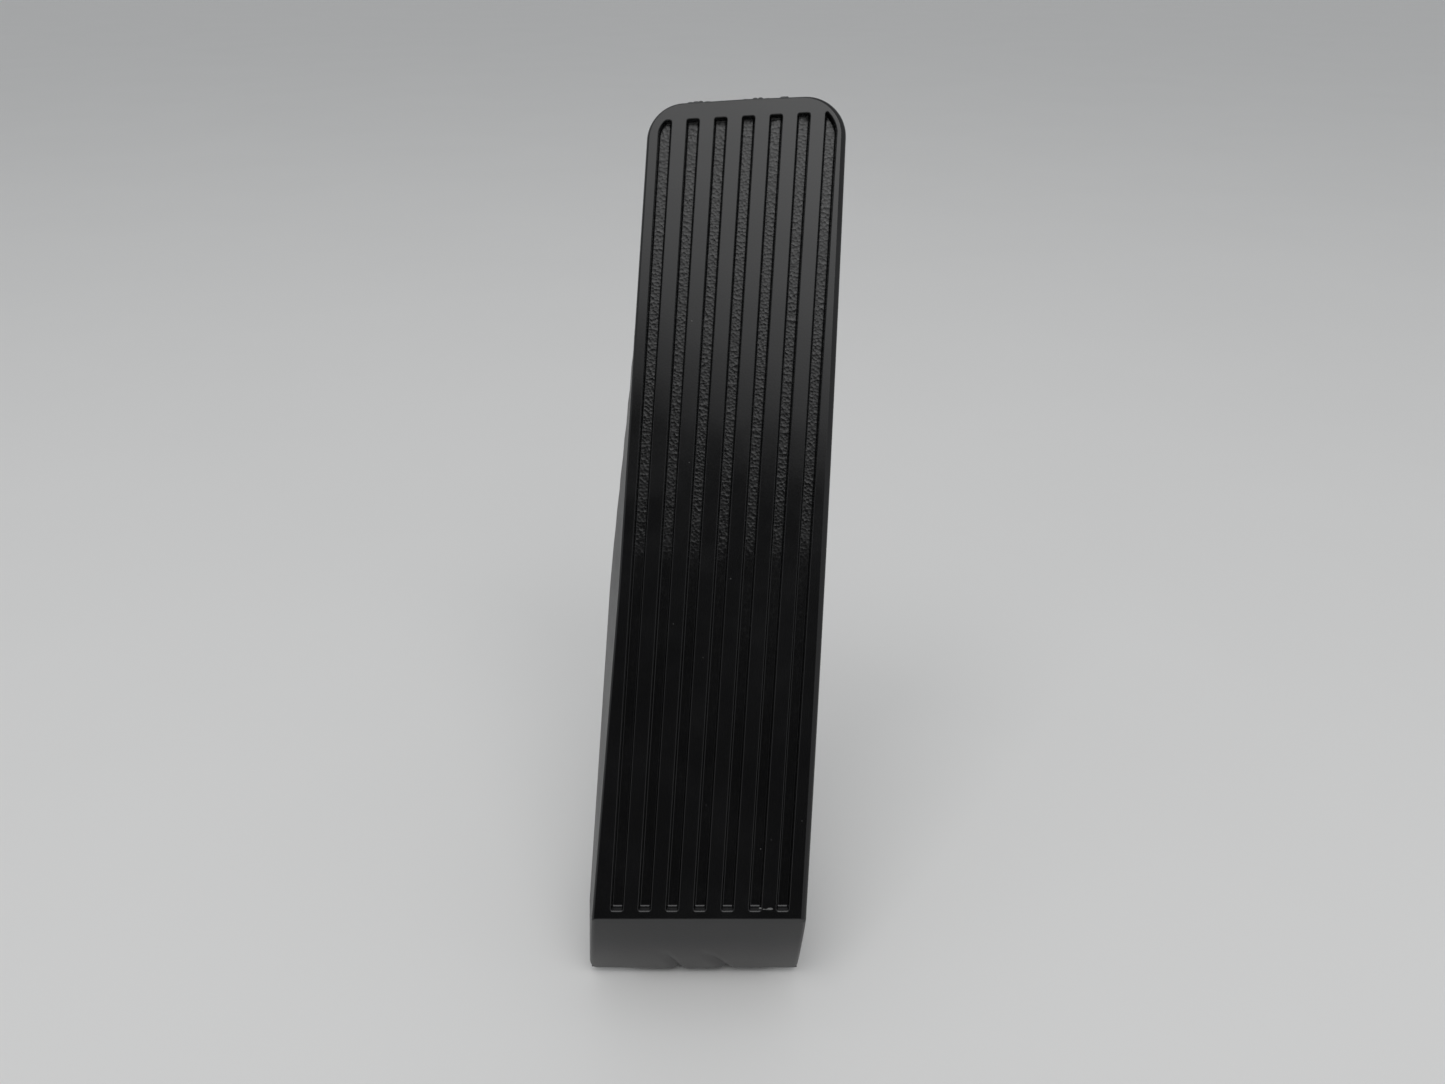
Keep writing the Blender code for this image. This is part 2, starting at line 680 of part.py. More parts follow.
RIVET_STEPS = 12
YOKE_RIVETS = [
    (side * YOKE_RIVET_SPREAD, row, 0.0) for side in (-1, 1) for row in YOKE_RIVET_ROWS
]
ROLLER_X = middle(ROLLER_AT)
ROLLER_BACK = POCKET + ROLLER_STEEL
ROLLER_RIVETS = [(ROLLER_X, ROLLER_AT + side * ROLLER_RIVET_SPREAD, 0.0) for side in (-1, 1)]
yoke_rivet = turned(rivet(FACE_Z - PLATE_FRONT, FACE_Z - YOKE_BACK), steps=RIVET_STEPS)
for k, place in enumerate(YOKE_RIVETS):
    piece(f"yoke_rivet_{k + 1}", yoke_rivet, pivot, rivet_steel, True).location = place
roller_rivet = turned(rivet(FACE_Z - PLATE_FRONT, FACE_Z - ROLLER_BACK), steps=RIVET_STEPS)
for k, place in enumerate(ROLLER_RIVETS):
    piece(f"roller_rivet_{k + 1}", roller_rivet, pivot, rivet_steel, True).location = place
rivet_hole = turned(rivet(FACE_Z - PLATE_FRONT, FACE_Z - ROLLER_BACK, FIT), steps=RIVET_STEPS)
rivet_holes = helper("rivet_holes", copies(rivet_hole, YOKE_RIVETS + ROLLER_RIVETS), pivot)
boolean(plate, rivet_holes, "DIFFERENCE")


def channel(half, base, steel, reach, low, high, down, shift=0.0):
    """A bent U section along Y: its web at base, its ears reaching away from it."""
    sign = -1 if down else 1
    inner = max(BEND - steel, FIT)
    tip = base + sign * reach
    web = base + sign * steel
    section = [
        (shift - half, tip, 0.0),
        (shift - half, base, BEND),
        (shift + half, base, BEND),
        (shift + half, tip, 0.0),
        (shift + half - steel, tip, 0.0),
        (shift + half - steel, web, inner),
        (shift - half + steel, web, inner),
        (shift - half + steel, tip, 0.0),
    ]
    return prism([rounded(section, steps=3)], -high, -low, PLANE_XZ)


# Yoke: a channel trimmed to a web, two ears round the pin, and two stop heels
YOKE_TOP = FACE_Z - POCKET
YOKE_START = toe_inner(POCKET) + 2 * FIT
HEEL_ANGLE = -(PEDAL_ANGLE + HEEL_DROP)
heel = (HEEL_REACH * math.cos(HEEL_ANGLE), HEEL_REACH * math.sin(HEEL_ANGLE))
yoke = piece(
    "hinge_yoke",
    channel(YOKE_HALF, YOKE_TOP, YOKE_STEEL, YOKE_TOP + HEEL_REACH + 2 * YOKE_EAR,
            -2 * YOKE_EAR, YOKE_LENGTH, True),
    pivot,
    yoke_steel,
)
yoke_view = [(YOKE_START, YOKE_TOP + OVER), (YOKE_START, YOKE_TOP - YOKE_STEEL)]
yoke_view += eared((0.0, 0.0), YOKE_EAR, heel, HEEL_RADIUS, math.radians(165.0), math.radians(390.0))
yoke_view += [(YOKE_LENGTH, YOKE_TOP - YOKE_STEEL - OVER), (YOKE_LENGTH, YOKE_TOP + OVER)]
yoke_side = helper("yoke_side_view", prism([yoke_view], -SIDE_REACH, SIDE_REACH, PLANE_YZ), pivot)
boolean(yoke, yoke_side, "INTERSECT")


def rod(radius, low, high, steps=ROUND_STEPS):
    """A plain round bar along X, used to bore holes."""
    return turned([(0.0, high), (radius, high), (radius, low), (0.0, low)], PLANE_YZ, steps)


boolean(yoke, helper("yoke_bore", rod(PIN_RADIUS + FIT, -SIDE_REACH, SIDE_REACH), pivot), "DIFFERENCE")
RIVET_BORE = RIVET_RADIUS + FIT
yoke_hole = turned([(0.0, FACE_Z), (RIVET_BORE, FACE_Z), (RIVET_BORE, 0.0), (0.0, 0.0)], steps=RIVET_STEPS)
yoke_holes = copies(yoke_hole, [(x, y, YOKE_TOP - YOKE_STEEL - OVER) for x, y, z in YOKE_RIVETS])
boolean(yoke, helper("yoke_rivet_holes", yoke_holes, pivot), "DIFFERENCE")

# Hinge pin with a groove for a clip at each end, its clips, the sleeve and the bushes
GROOVE_SEAT = PIN_RADIUS - CLIP_GROOVE
pin_profile = [(0.0, PIN_END), (PIN_RADIUS - PIN_CHAMFER, PIN_END), (PIN_RADIUS, PIN_END - PIN_CHAMFER)]
pin_profile += [
    (PIN_RADIUS, CLIP_OUT + FIT),
    (GROOVE_SEAT, CLIP_OUT + FIT),
    (GROOVE_SEAT, CLIP_IN - FIT),
    (PIN_RADIUS, CLIP_IN - FIT),
]
pin_profile += [(radius, -height) for radius, height in reversed(pin_profile)]
piece("hinge_pin", turned(pin_profile, PLANE_YZ), pivot, pin_steel, True)


def clip_outline(seat, reach):
    """An open retaining ring round a groove seat."""
    bore = seat + FIT
    outer = bore + reach
    mouth = math.radians(40.0)
    turns = [mouth + (2 * math.pi - 2 * mouth) * k / 20 for k in range(21)]
    ring = [(outer * math.cos(a), outer * math.sin(a)) for a in turns]
    return ring + [(bore * math.cos(a), bore * math.sin(a)) for a in reversed(turns)]


hinge_clip = clip_outline(GROOVE_SEAT, CLIP_REACH)
piece("hinge_clip_left", prism([hinge_clip], -CLIP_OUT, -CLIP_IN, PLANE_YZ), pivot, clip_steel)
piece("hinge_clip_right", prism([hinge_clip], CLIP_IN, CLIP_OUT, PLANE_YZ), pivot, clip_steel)
SLEEVE_END = YOKE_IN - FIT
sleeve_profile = [
    (SLEEVE_RADIUS, SLEEVE_END),
    (SLEEVE_RADIUS, -SLEEVE_END),
    (PIN_RADIUS + FIT, -SLEEVE_END),
    (PIN_RADIUS + FIT, SLEEVE_END),
]
piece("spring_sleeve", turned(sleeve_profile, PLANE_YZ), pivot, nylon, True)
bush_profile = [
    (BUSH_RADIUS, EAR_OUT + FIT / 2),
    (BUSH_RADIUS, EAR_IN - FIT),
    (BUSH_RADIUS + BUSH_RIM, EAR_IN - FIT),
    (BUSH_RADIUS + BUSH_RIM, BUSH_IN),
    (BUSH_BORE, BUSH_IN),
    (BUSH_BORE, EAR_OUT + FIT / 2),
]
piece("hinge_bush_right", turned(bush_profile, PLANE_YZ), floor, nylon, True)
bush_mirror = [(radius, -height) for radius, height in reversed(bush_profile)]
piece("hinge_bush_left", turned(bush_mirror, PLANE_YZ), floor, nylon, True)

# Floor bracket: a channel trimmed to two ears, on a wider foot plate
foot = piece(
    "floor_bracket",
    channel(EAR_OUT, STEEL_LOW, BRACKET_STEEL, BRACKET_EAR + OVER - STEEL_LOW,
            BASE_FRONT, BASE_FRONT + BRACKET_FOOT / 2 + OVER, False),
    floor,
    pan_steel,
)
ear_view = [
    (BASE_FRONT, STEEL_LOW - OVER),
    (BASE_FRONT + BRACKET_FOOT, STEEL_LOW - OVER),
    (BASE_FRONT + BRACKET_FOOT, STEEL_TOP + OVER / 2),
    (EAR_FOOT, STEEL_TOP + OVER / 2),
]
for k in range(11):
    turn = math.radians(65.0) + math.radians(120.0) * k / 10
    ear_view.append((BRACKET_EAR * math.cos(turn), BRACKET_EAR * math.sin(turn)))
ear_view.append((BASE_FRONT, STEEL_TOP + OVER / 2))
ear_side = helper("ear_side_view", prism([ear_view], -SIDE_REACH, SIDE_REACH, PLANE_YZ), floor)
boolean(foot, ear_side, "INTERSECT")
FOOT_BACK = BASE_FRONT + BRACKET_FOOT
FOOT_WIDE_FROM = EAR_FOOT - OVER
wide = BRACKET_WIDTH / 2
foot_corners = [
    (-wide, FOOT_WIDE_FROM, BRACKET_STEP),
    (wide, FOOT_WIDE_FROM, BRACKET_STEP),
    (wide, FOOT_BACK, BRACKET_CORNER),
    (-wide, FOOT_BACK, BRACKET_CORNER),
]
HOLE_PLACES = [(side * HOLE_SPREAD, row) for side in (-1, 1) for row in HOLE_ROWS]
foot_outlines = [rounded(foot_corners)] + [circle(x, y, HOLE_RADIUS, 16) for x, y in HOLE_PLACES]
foot_sheet = prism(foot_outlines, STEEL_LOW + BRACKET_LAP, STEEL_TOP - BRACKET_LAP, PLANE_XY)
foot_plate = helper("foot_plate", foot_sheet, floor)
boolean(foot, foot_plate, "UNION")
boolean(foot, helper("ear_bore", rod(BUSH_RADIUS + FIT, -SIDE_REACH, SIDE_REACH), floor), "DIFFERENCE")

# Rubber underlay with the same holes
narrow = EAR_OUT + PAD_MARGIN
pad_wide = wide + PAD_MARGIN
pad_step = FOOT_WIDE_FROM - PAD_MARGIN
pad_corners = [
    (-narrow, BASE_FRONT, 0.0),
    (narrow, BASE_FRONT, 0.0),
    (narrow, pad_step, 0.0),
    (pad_wide, pad_step, BRACKET_STEP),
    (pad_wide, FOOT_BACK + PAD_MARGIN, BRACKET_CORNER),
    (-pad_wide, FOOT_BACK + PAD_MARGIN, BRACKET_CORNER),
    (-pad_wide, pad_step, BRACKET_STEP),
    (-narrow, pad_step, 0.0),
]
pad_outlines = [rounded(pad_corners)] + [circle(x, y, HOLE_RADIUS, 16) for x, y in HOLE_PLACES]
piece("floor_pad", prism(pad_outlines, -HINGE_Z, PAD_TOP, PLANE_XY), floor, soft_rubber)

# Stop buffers under the heels, a fit below where each heel ends its travel
heel_end = swing(*heel, PEDAL_ANGLE - PRESS_ANGLE)
BUFFER_TOP = heel_end[1] - HEEL_RADIUS - FIT
BUFFER_X = YOKE_HALF - YOKE_STEEL / 2 - FIT
buffer_corners = [
    (-BUFFER_WIDTH / 2, heel_end[0] - BUFFER_LENGTH / 2, BUFFER_CORNER),
    (BUFFER_WIDTH / 2, heel_end[0] - BUFFER_LENGTH / 2, BUFFER_CORNER),
    (BUFFER_WIDTH / 2, heel_end[0] + BUFFER_LENGTH / 2, BUFFER_CORNER),
    (-BUFFER_WIDTH / 2, heel_end[0] + BUFFER_LENGTH / 2, BUFFER_CORNER),
]
for name, side in (("stop_buffer_left", -1), ("stop_buffer_right", 1)):
    block = prism([rounded(buffer_corners, steps=3)], STEEL_TOP + FIT, BUFFER_TOP, PLANE_XY)
    block.transform(Matrix.Translation((side * BUFFER_X, 0.0, 0.0)))
    piece(name, block, floor, soft_rubber)

# Return spring: one unbroken wire, a leg on the foot plate, the coil, and a leg on the yoke
upper_z = FACE_Z - YOKE_BACK - FIT - WIRE
upper_tip = swing(UPPER_LEG, upper_z)
lower_tip = (LOWER_LEG, STEEL_TOP + FIT + WIRE)


def tangent_angle(tip, sign):
    """Where a straight leg from a tip touches the coil's circle."""
    distance = math.hypot(*tip)
    return math.atan2(tip[1], tip[0]) + sign * math.acos(COIL_RADIUS / distance)


COIL_PITCH = 2 * WIRE + COIL_GAP
first = tangent_angle(lower_tip, -1)
last = tangent_angle(upper_tip, 1)
while last > first:
    last -= 2 * math.pi
last -= 2 * math.pi * COIL_TURNS
turns = (first - last) / (2 * math.pi)
points = math.ceil(turns * COIL_POINTS)
half_coil = turns * COIL_PITCH / 2
wire_path = [(half_coil, *lower_tip)]
for k in range(points + 1):
    turn = first + (last - first) * k / points
    wire_path.append(
        (half_coil - 2 * half_coil * k / points, COIL_RADIUS * math.cos(turn), COIL_RADIUS * math.sin(turn))
    )
wire_path.append((-half_coil, *upper_tip))
least = min(
    (Vector(wire_path[i]) - Vector(wire_path[j])).length
    for i in range(1, points + 2)
    for j in range(i + COIL_POINTS // 2, points + 2)
)
print("return_spring least gap between curls, mm:", round((least - 2 * WIRE) / MM, 3))
wire = bpy.data.curves.new("return_spring", "CURVE")
wire.dimensions = "3D"
wire.bevel_depth = WIRE
wire.bevel_resolution = 1
wire.use_fill_caps = True
spline = wire.splines.new("POLY")
spline.points.add(len(wire_path) - 1)
for point, place in zip(spline.points, wire_path):
    point.co = (*place, 1.0)
spring = bpy.data.objects.new("return_spring", wire)
wire.materials.append(spring_steel)
collection.objects.link(spring)
spring.parent = floor

# Roller group behind the upper half of the tread
ROLLER_Z = FACE_Z - ROLLER_BACK - ROLLER_ROOM - ROLLER_RADIUS
roller_pivot = bpy.data.objects.new("roller_pivot", None)
roller_pivot.location = (ROLLER_X, ROLLER_AT, ROLLER_Z)
roller_pivot.parent = pivot
collection.objects.link(roller_pivot)
ROLLER_HALF = ROLLER_WIDTH / 2
FORK_IN = ROLLER_HALF + ROLLER_SIDE
FORK_OUT = FORK_IN + ROLLER_STEEL
fork_top = FACE_Z - POCKET - ROLLER_Z
fork = piece(
    "roller_bracket",
    channel(FORK_OUT, fork_top, ROLLER_STEEL, fork_top + 2 * ROLLER_EAR,
            -ROLLER_BASE / 2, ROLLER_BASE / 2, True),
    roller_pivot,
    yoke_steel,
)
fork_end = ROLLER_BASE / 2 + OVER
fork_low = fork_top - ROLLER_STEEL - OVER
fork_view = [(-fork_end, fork_top + OVER), (-fork_end, fork_low)]
for k in range(11):
    turn = math.radians(200.0) + math.radians(140.0) * k / 10
    fork_view.append((ROLLER_EAR * math.cos(turn), ROLLER_EAR * math.sin(turn)))
fork_view += [(fork_end, fork_low), (fork_end, fork_top + OVER)]
fork_side = helper("fork_side_view", prism([fork_view], -SIDE_REACH, SIDE_REACH, PLANE_YZ), roller_pivot)
boolean(fork, fork_side, "INTERSECT")
fork_bore = rod(ROLLER_PIN + FIT, -SIDE_REACH, SIDE_REACH, 16)
boolean(fork, helper("fork_bore", fork_bore, roller_pivot), "DIFFERENCE")
fork_hole = turned([(0.0, OVER), (RIVET_BORE, OVER), (RIVET_BORE, -OVER), (0.0, -OVER)], steps=RIVET_STEPS)
fork_holes = copies(
    fork_hole,
    [(0.0, side * ROLLER_RIVET_SPREAD, fork_top - ROLLER_STEEL / 2) for side in (-1, 1)],
)
boolean(fork, helper("fork_rivet_holes", fork_holes, roller_pivot), "DIFFERENCE")
roller_profile = [
    (ROLLER_RADIUS - ROLLER_CROWN, ROLLER_HALF),
    (ROLLER_RADIUS, ROLLER_HALF - ROLLER_CROWN),
    (ROLLER_RADIUS, -ROLLER_HALF + ROLLER_CROWN),
    (ROLLER_RADIUS - ROLLER_CROWN, -ROLLER_HALF),
    (ROLLER_PIN + FIT, -ROLLER_HALF),
    (ROLLER_PIN + FIT, ROLLER_HALF),
]
piece("roller", turned(roller_profile, PLANE_YZ), roller_pivot, nylon, True)
FORK_CLIP_IN = FORK_OUT + 2 * FIT
FORK_CLIP_OUT = FORK_CLIP_IN + CLIP_THICK
ROLLER_SEAT = ROLLER_PIN - CLIP_GROOVE * 0.8
roller_pin_profile = [
    (0.0, FORK_OUT + FIT + ROLLER_HEAD_THICK),
    (ROLLER_HEAD * 0.8, FORK_OUT + FIT + ROLLER_HEAD_THICK),
    (ROLLER_HEAD, FORK_OUT + FIT + ROLLER_HEAD_RIM),
    (ROLLER_HEAD, FORK_OUT + FIT),
    (ROLLER_PIN, FORK_OUT + FIT),
    (ROLLER_PIN, -FORK_CLIP_IN + FIT),
    (ROLLER_SEAT, -FORK_CLIP_IN + FIT),
    (ROLLER_SEAT, -FORK_CLIP_OUT - FIT),
    (ROLLER_PIN, -FORK_CLIP_OUT - FIT),
    (ROLLER_PIN, -FORK_CLIP_OUT - FIT - PIN_TAIL),
    (0.0, -FORK_CLIP_OUT - FIT - PIN_TAIL),
]
piece("roller_pin", turned(roller_pin_profile, PLANE_YZ, 16), roller_pivot, pin_steel, True)
roller_clip = clip_outline(ROLLER_SEAT, CLIP_REACH * 0.8)
roller_ring = prism([roller_clip], -FORK_CLIP_OUT, -FORK_CLIP_IN, PLANE_YZ)
piece("roller_pin_clip", roller_ring, roller_pivot, clip_steel)

bpy.context.view_layer.update()
print("hinge at, mm:", round(HINGE_Y / MM, 3), round(HINGE_Z / MM, 3))
print("roller axis at, mm:", [round(v / MM, 3) for v in roller_pivot.matrix_world.translation])
print("buffer top above foot, mm:", round((BUFFER_TOP - STEEL_TOP) / MM, 3))
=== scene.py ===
"""Looks of a floor-hinged accelerator pedal: a moulded rubber tread on sprung, riveted steel work."""
import json
import logging
import math
from dataclasses import dataclass
from enum import Enum

import bmesh
import bpy
from mathutils import Matrix, Vector


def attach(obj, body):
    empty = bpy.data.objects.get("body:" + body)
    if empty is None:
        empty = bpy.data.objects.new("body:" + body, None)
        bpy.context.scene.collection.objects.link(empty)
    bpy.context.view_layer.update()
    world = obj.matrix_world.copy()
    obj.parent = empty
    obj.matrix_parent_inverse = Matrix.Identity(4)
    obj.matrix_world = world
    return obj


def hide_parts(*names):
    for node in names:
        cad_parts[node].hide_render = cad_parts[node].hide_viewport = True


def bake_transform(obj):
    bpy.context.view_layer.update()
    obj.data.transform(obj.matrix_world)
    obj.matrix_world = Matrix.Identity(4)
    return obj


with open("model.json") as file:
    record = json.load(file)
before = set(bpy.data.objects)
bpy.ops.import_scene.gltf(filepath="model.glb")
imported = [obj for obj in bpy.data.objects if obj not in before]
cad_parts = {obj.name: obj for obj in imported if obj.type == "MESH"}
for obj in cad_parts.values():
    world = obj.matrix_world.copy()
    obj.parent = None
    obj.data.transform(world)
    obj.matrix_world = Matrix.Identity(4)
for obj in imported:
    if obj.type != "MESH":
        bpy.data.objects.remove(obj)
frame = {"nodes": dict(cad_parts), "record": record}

LOG = logging.getLogger("pedal")
MM = 0.001
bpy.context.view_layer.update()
JOINTS = {joint["name"]: joint for joint in frame["record"]["behaviour"]["joints"]}
HINGE = Vector(JOINTS["pedal_hinge"]["pos_m"])
SLOPE = math.radians(62.0)
PIVOT = Matrix.Translation(HINGE) @ Matrix.Rotation(SLOPE, 4, "X")

ARC_STEPS = 24
SLIVER = 0.002 * MM

Point = tuple[float, float]
Place = tuple[float, float, float]
Colour = tuple[float, float, float]


class Body(Enum):
    """The rigid bodies that pieces move with."""

    BASE = "base"
    PEDAL = "pedal"
    ROLLER = "roller"


def feed(tree: bpy.types.NodeTree, socket: bpy.types.NodeSocket, value: object) -> None:
    """Links a socket to another one, or sets its value."""
    if isinstance(value, bpy.types.NodeSocket):
        tree.links.new(value, socket)
    else:
        socket.default_value = value


def new_node(tree: bpy.types.NodeTree, kind: str, settings: dict, values: dict) -> bpy.types.Node:
    """Adds one node to a tree.

    Args:
        tree: the tree.
        kind: the node's type.
        settings: its own properties, set first.
        values: values or links for its sockets, by name or index.

    Returns:
        The node.
    """
    node = tree.nodes.new(kind)
    for key, value in settings.items():
        setattr(node, key, value)
    for key, value in values.items():
        feed(tree, node.inputs[key], value)
    return node


class Sock:
    """A shader value whose operators add Math nodes to its graph."""

    def __init__(self, graph: "Graph", socket: bpy.types.NodeSocket) -> None:
        """Wraps one output socket of a graph."""
        self.graph = graph
        self.socket = socket

    def math(self, operation: str, first: "Sock | float", second: "Sock | float") -> "Sock":
        """Adds one Math node.

        Args:
            operation: the Math node's operation.
            first: its first value.
            second: its second value.

        Returns:
            The node's result.
        """
        return self.graph.add("ShaderNodeMath", {"operation": operation}, {0: first, 1: second})

    def __add__(self, other: "Sock | float") -> "Sock":
        """Sum."""
        return self.math("ADD", self, other)

    def __radd__(self, other: float) -> "Sock":
        """Sum, reflected."""
        return self.math("ADD", other, self)

    def __sub__(self, other: "Sock | float") -> "Sock":
        """Difference."""
        return self.math("SUBTRACT", self, other)

    def __rsub__(self, other: float) -> "Sock":
        """Difference, reflected."""
        return self.math("SUBTRACT", other, self)

    def __mul__(self, other: "Sock | float") -> "Sock":
        """Product."""
        return self.math("MULTIPLY", self, other)

    def __pow__(self, other: float) -> "Sock":
        """Power."""
        return self.math("POWER", self, other)

    def above(self, edge: float, width: float) -> "Sock":
        """A soft step from 0 to 1 as the value passes an edge.

        Args:
            edge: where the step starts.
            width: how wide it is.

        Returns:
            The step, held between 0 and 1.
        """
        settings = {"interpolation_type": "SMOOTHSTEP"}
        return self.graph.add("ShaderNodeMapRange", settings, {"Value": self, 1: edge, 2: edge + width})


class Graph:
    """A material's node tree with a Principled shader at its end."""

    def __init__(self, name: str) -> None:
        """Makes the material."""
        self.material = bpy.data.materials.new(name)
        self.material.use_nodes = True
        self.tree = self.material.node_tree
        self.shader = self.tree.nodes["Principled BSDF"]

    def add(self, kind: str, settings: dict, values: dict, result: int = 0) -> Sock:
        """Adds one node.

        Args:
            kind: the node's type.
            settings: its own properties, set first.
            values: numbers, colours or links for its sockets, by name or index.
            result: which output to return.

        Returns:
            The output, wrapped.
        """
        plain = {key: value.socket if isinstance(value, Sock) else value for key, value in values.items()}
        return Sock(self, new_node(self.tree, kind, settings, plain).outputs[result])

    def place(self) -> Sock:
        """The piece's own coordinates."""
        return self.add("ShaderNodeTexCoord", {}, {}, 3)

    def height(self) -> Sock:
        """How high the place is above the floor."""
        return self.add("ShaderNodeSeparateXYZ", {}, {"Vector": self.place()}, 2)

    def noise(self, scale: float, detail: float, rough: float = 0.55) -> Sock:
        """Smooth noise.

        Args:
            scale: cells per metre.
            detail: octaves.
            rough: how strong the fine octaves are.

        Returns:
            The noise, about 0.5.
        """
        values = {"Vector": self.place(), "Scale": scale, "Detail": detail, "Roughness": rough}
        return self.add("ShaderNodeTexNoise", {}, values)

    def stretched(self, scale: Place) -> Sock:
        """Noise drawn out along an axis, as a grinding or drawing grain, with a scale for each axis."""
        drawn = self.add("ShaderNodeMapping", {}, {"Vector": self.place(), "Scale": scale})
        return self.add("ShaderNodeTexNoise", {}, {"Vector": drawn, "Scale": 1.0, "Detail": 2.0})

    def cells(self, scale: float) -> Sock:
        """Distance to the nearest of scattered points, so many per metre."""
        return self.add("ShaderNodeTexVoronoi", {}, {"Vector": self.place(), "Scale": scale})

    def mix(self, factor: "Sock | float", first: "Sock | tuple", second: "Sock | tuple") -> Sock:
        """Blends two colours.

        Args:
            factor: 0 for the first, 1 for the second.
            first: a colour.
            second: a colour.

        Returns:
            The blend.
        """
        pair = [c if isinstance(c, Sock) else (*c, 1.0) for c in (first, second)]
        settings = {"data_type": "RGBA"}
        return self.add("ShaderNodeMix", settings, {0: factor, 6: pair[0], 7: pair[1]}, 2)

    def bump(
        self, height: Sock, depth: float, strength: "Sock | float" = 1.0, over: "Sock | None" = None
    ) -> Sock:
        """Turns a height into a bent normal.

        Args:
            height: the height, 0 to 1.
            depth: how many metres 1 stands for.
            strength: how much of it shows.
            over: a normal to build on.

        Returns:
            The normal.
        """
        values = {"Height": height, "Distance": depth, "Strength": strength}
        if over is not None:
            values["Normal"] = over
        return self.add("ShaderNodeBump", {}, values)

    def finish(self, values: dict) -> bpy.types.Material:
        """Sets the shader's sockets.

        Args:
            values: numbers, colours or links by socket name.

        Returns:
            The finished material.
        """
        for key, value in values.items():
            if isinstance(value, tuple):
                value = (*value, 1.0)
            feed(self.tree, self.shader.inputs[key], value.socket if isinstance(value, Sock) else value)
        return self.material


class NodeTree:
    """A Geometry Nodes tree built in code, with named inputs."""

    def __init__(self, name: str) -> None:
        """Makes an empty tree with one geometry input and output."""
        self.tree = bpy.data.node_groups.new(name, "GeometryNodeTree")
        self.tree.interface.new_socket("Geometry", in_out="INPUT", socket_type="NodeSocketGeometry")
        self.tree.interface.new_socket("Geometry", in_out="OUTPUT", socket_type="NodeSocketGeometry")
        self.entry = self.tree.nodes.new("NodeGroupInput")
        self.exit = self.tree.nodes.new("NodeGroupOutput")

    @property
    def geometry(self) -> bpy.types.NodeSocket:
        """The geometry that comes in."""
        return self.entry.outputs[0]

    def input(self, name: str, kind: str) -> bpy.types.NodeSocket:
        """Adds a named input.

        Args:
            name: the input's name.
            kind: its socket type.

        Returns:
            The input's socket inside the tree.
        """
        self.tree.interface.new_socket(name, in_out="INPUT", socket_type=kind)
        return self.entry.outputs[name]

    def add(self, kind: str, settings: dict, values: dict, result: int = 0) -> bpy.types.NodeSocket:
        """Adds one node.

        Args:
            kind: the node's type.
            settings: its own properties.
            values: values or links for its sockets.
            result: which output to return.

        Returns:
            That output.
        """
        return new_node(self.tree, kind, settings, values).outputs[result]

    def end(self, geometry: bpy.types.NodeSocket, look: bpy.types.Material) -> None:
        """Realizes what was made, gives it a material and ends the tree."""
        real = self.add("GeometryNodeRealizeInstances", {}, {"Geometry": geometry})
        dressed = self.add("GeometryNodeSetMaterial", {}, {"Geometry": real, "Material": look})
        self.tree.links.new(dressed, self.exit.inputs[0])

    def attach(self, obj: bpy.types.Object, values: dict) -> None:
        """Puts the tree on an object and sets its inputs by identifier.

        Args:
            obj: the object that carries it.
            values: input sockets of this tree and their values.
        """
        step = obj.modifiers.new(self.tree.name, "NODES")
        step.node_group = self.tree
        for socket, value in values.items():
            step[socket.identifier] = value


@dataclass(frozen=True)
class RubberFinish:
    """Moulded black rubber: dense, a little oily, with dust in its grain; where asked, painted lighter
    towards the floor as a painted reflection.
    """

    name: str
    colour: Colour
    dust: Colour
    rough: float
    grain: float
    grain_depth: float
    sway_depth: float
    stipple_from: float | None = None
    painted_sheen_below: float | None = None

    def material(self) -> bpy.types.Material:
        """Builds the finish as nodes."""
        g = Graph(self.name)
        patches = g.noise(55.0, 4.0)
        stippled = self.stipple_from is not None
        grain = g.cells(self.grain) ** 2.0 if stippled else g.noise(self.grain, 2.0, 0.6)
        share = 1.0
        if stippled:
            upper = g.height().above(self.stipple_from, 9.0 * MM)
            share = upper * (0.4 + g.noise(330.0, 2.0))
        specks = 1.0 - g.cells(420.0).above(0.05, 0.05)
        rare = g.noise(130.0, 1.0).above(0.66, 0.05)
        dust = specks * rare
        film = patches.above(0.35, 0.4)
        tone = g.mix(film * 0.6, self.colour, tuple(1.5 * c for c in self.colour))
        tone = g.mix(dust * 0.7, tone, self.dust)
        # Painted reflection: near the floor the rubber is mixed towards the dust colour, lighter towards the
        # foot, standing in for the toe lip's brighter sheen there.
        if self.painted_sheen_below is not None:
            tone = g.mix((1.0 - g.height().above(0.0, self.painted_sheen_below)) * 0.4, tone, self.dust)
        rough = self.rough + (patches - 0.5) * 0.16 + (grain - 0.5) * 0.1 + dust * 0.3
        sway = g.bump(g.noise(38.0, 1.0), self.sway_depth)
        if stippled:
            rough = rough + upper * (0.08 + (g.noise(600.0, 3.0) - 0.5) * 0.4)
        normal = g.bump(grain, self.grain_depth, share, sway)
        return g.finish({"Base Color": tone, "Roughness": rough, "Normal": normal, "IOR": 1.5})


@dataclass(frozen=True)
class PaintFinish:
    """Satin paint over pressed steel, with orange peel and rubbed edges."""

    name: str
    colour: Colour
    rough: float

    def material(self) -> bpy.types.Material:
        """Builds the finish as nodes."""
        g = Graph(self.name)
        wear = g.noise(90.0, 5.0, 0.7)
        peel = g.noise(1500.0, 1.0)
        chips = g.noise(420.0, 3.0).above(0.7, 0.03) * wear.above(0.5, 0.1)
        tone = g.mix(wear, self.colour, tuple(1.6 * c for c in self.colour))
        tone = g.mix(chips * 0.8, tone, (0.22, 0.2, 0.18))
        rough = self.rough + (wear - 0.5) * 0.25
        normal = g.bump(peel, 0.03 * MM, 0.6)
        return g.finish({"Base Color": tone, "Roughness": rough, "Metallic": chips * 0.8, "Normal": normal})


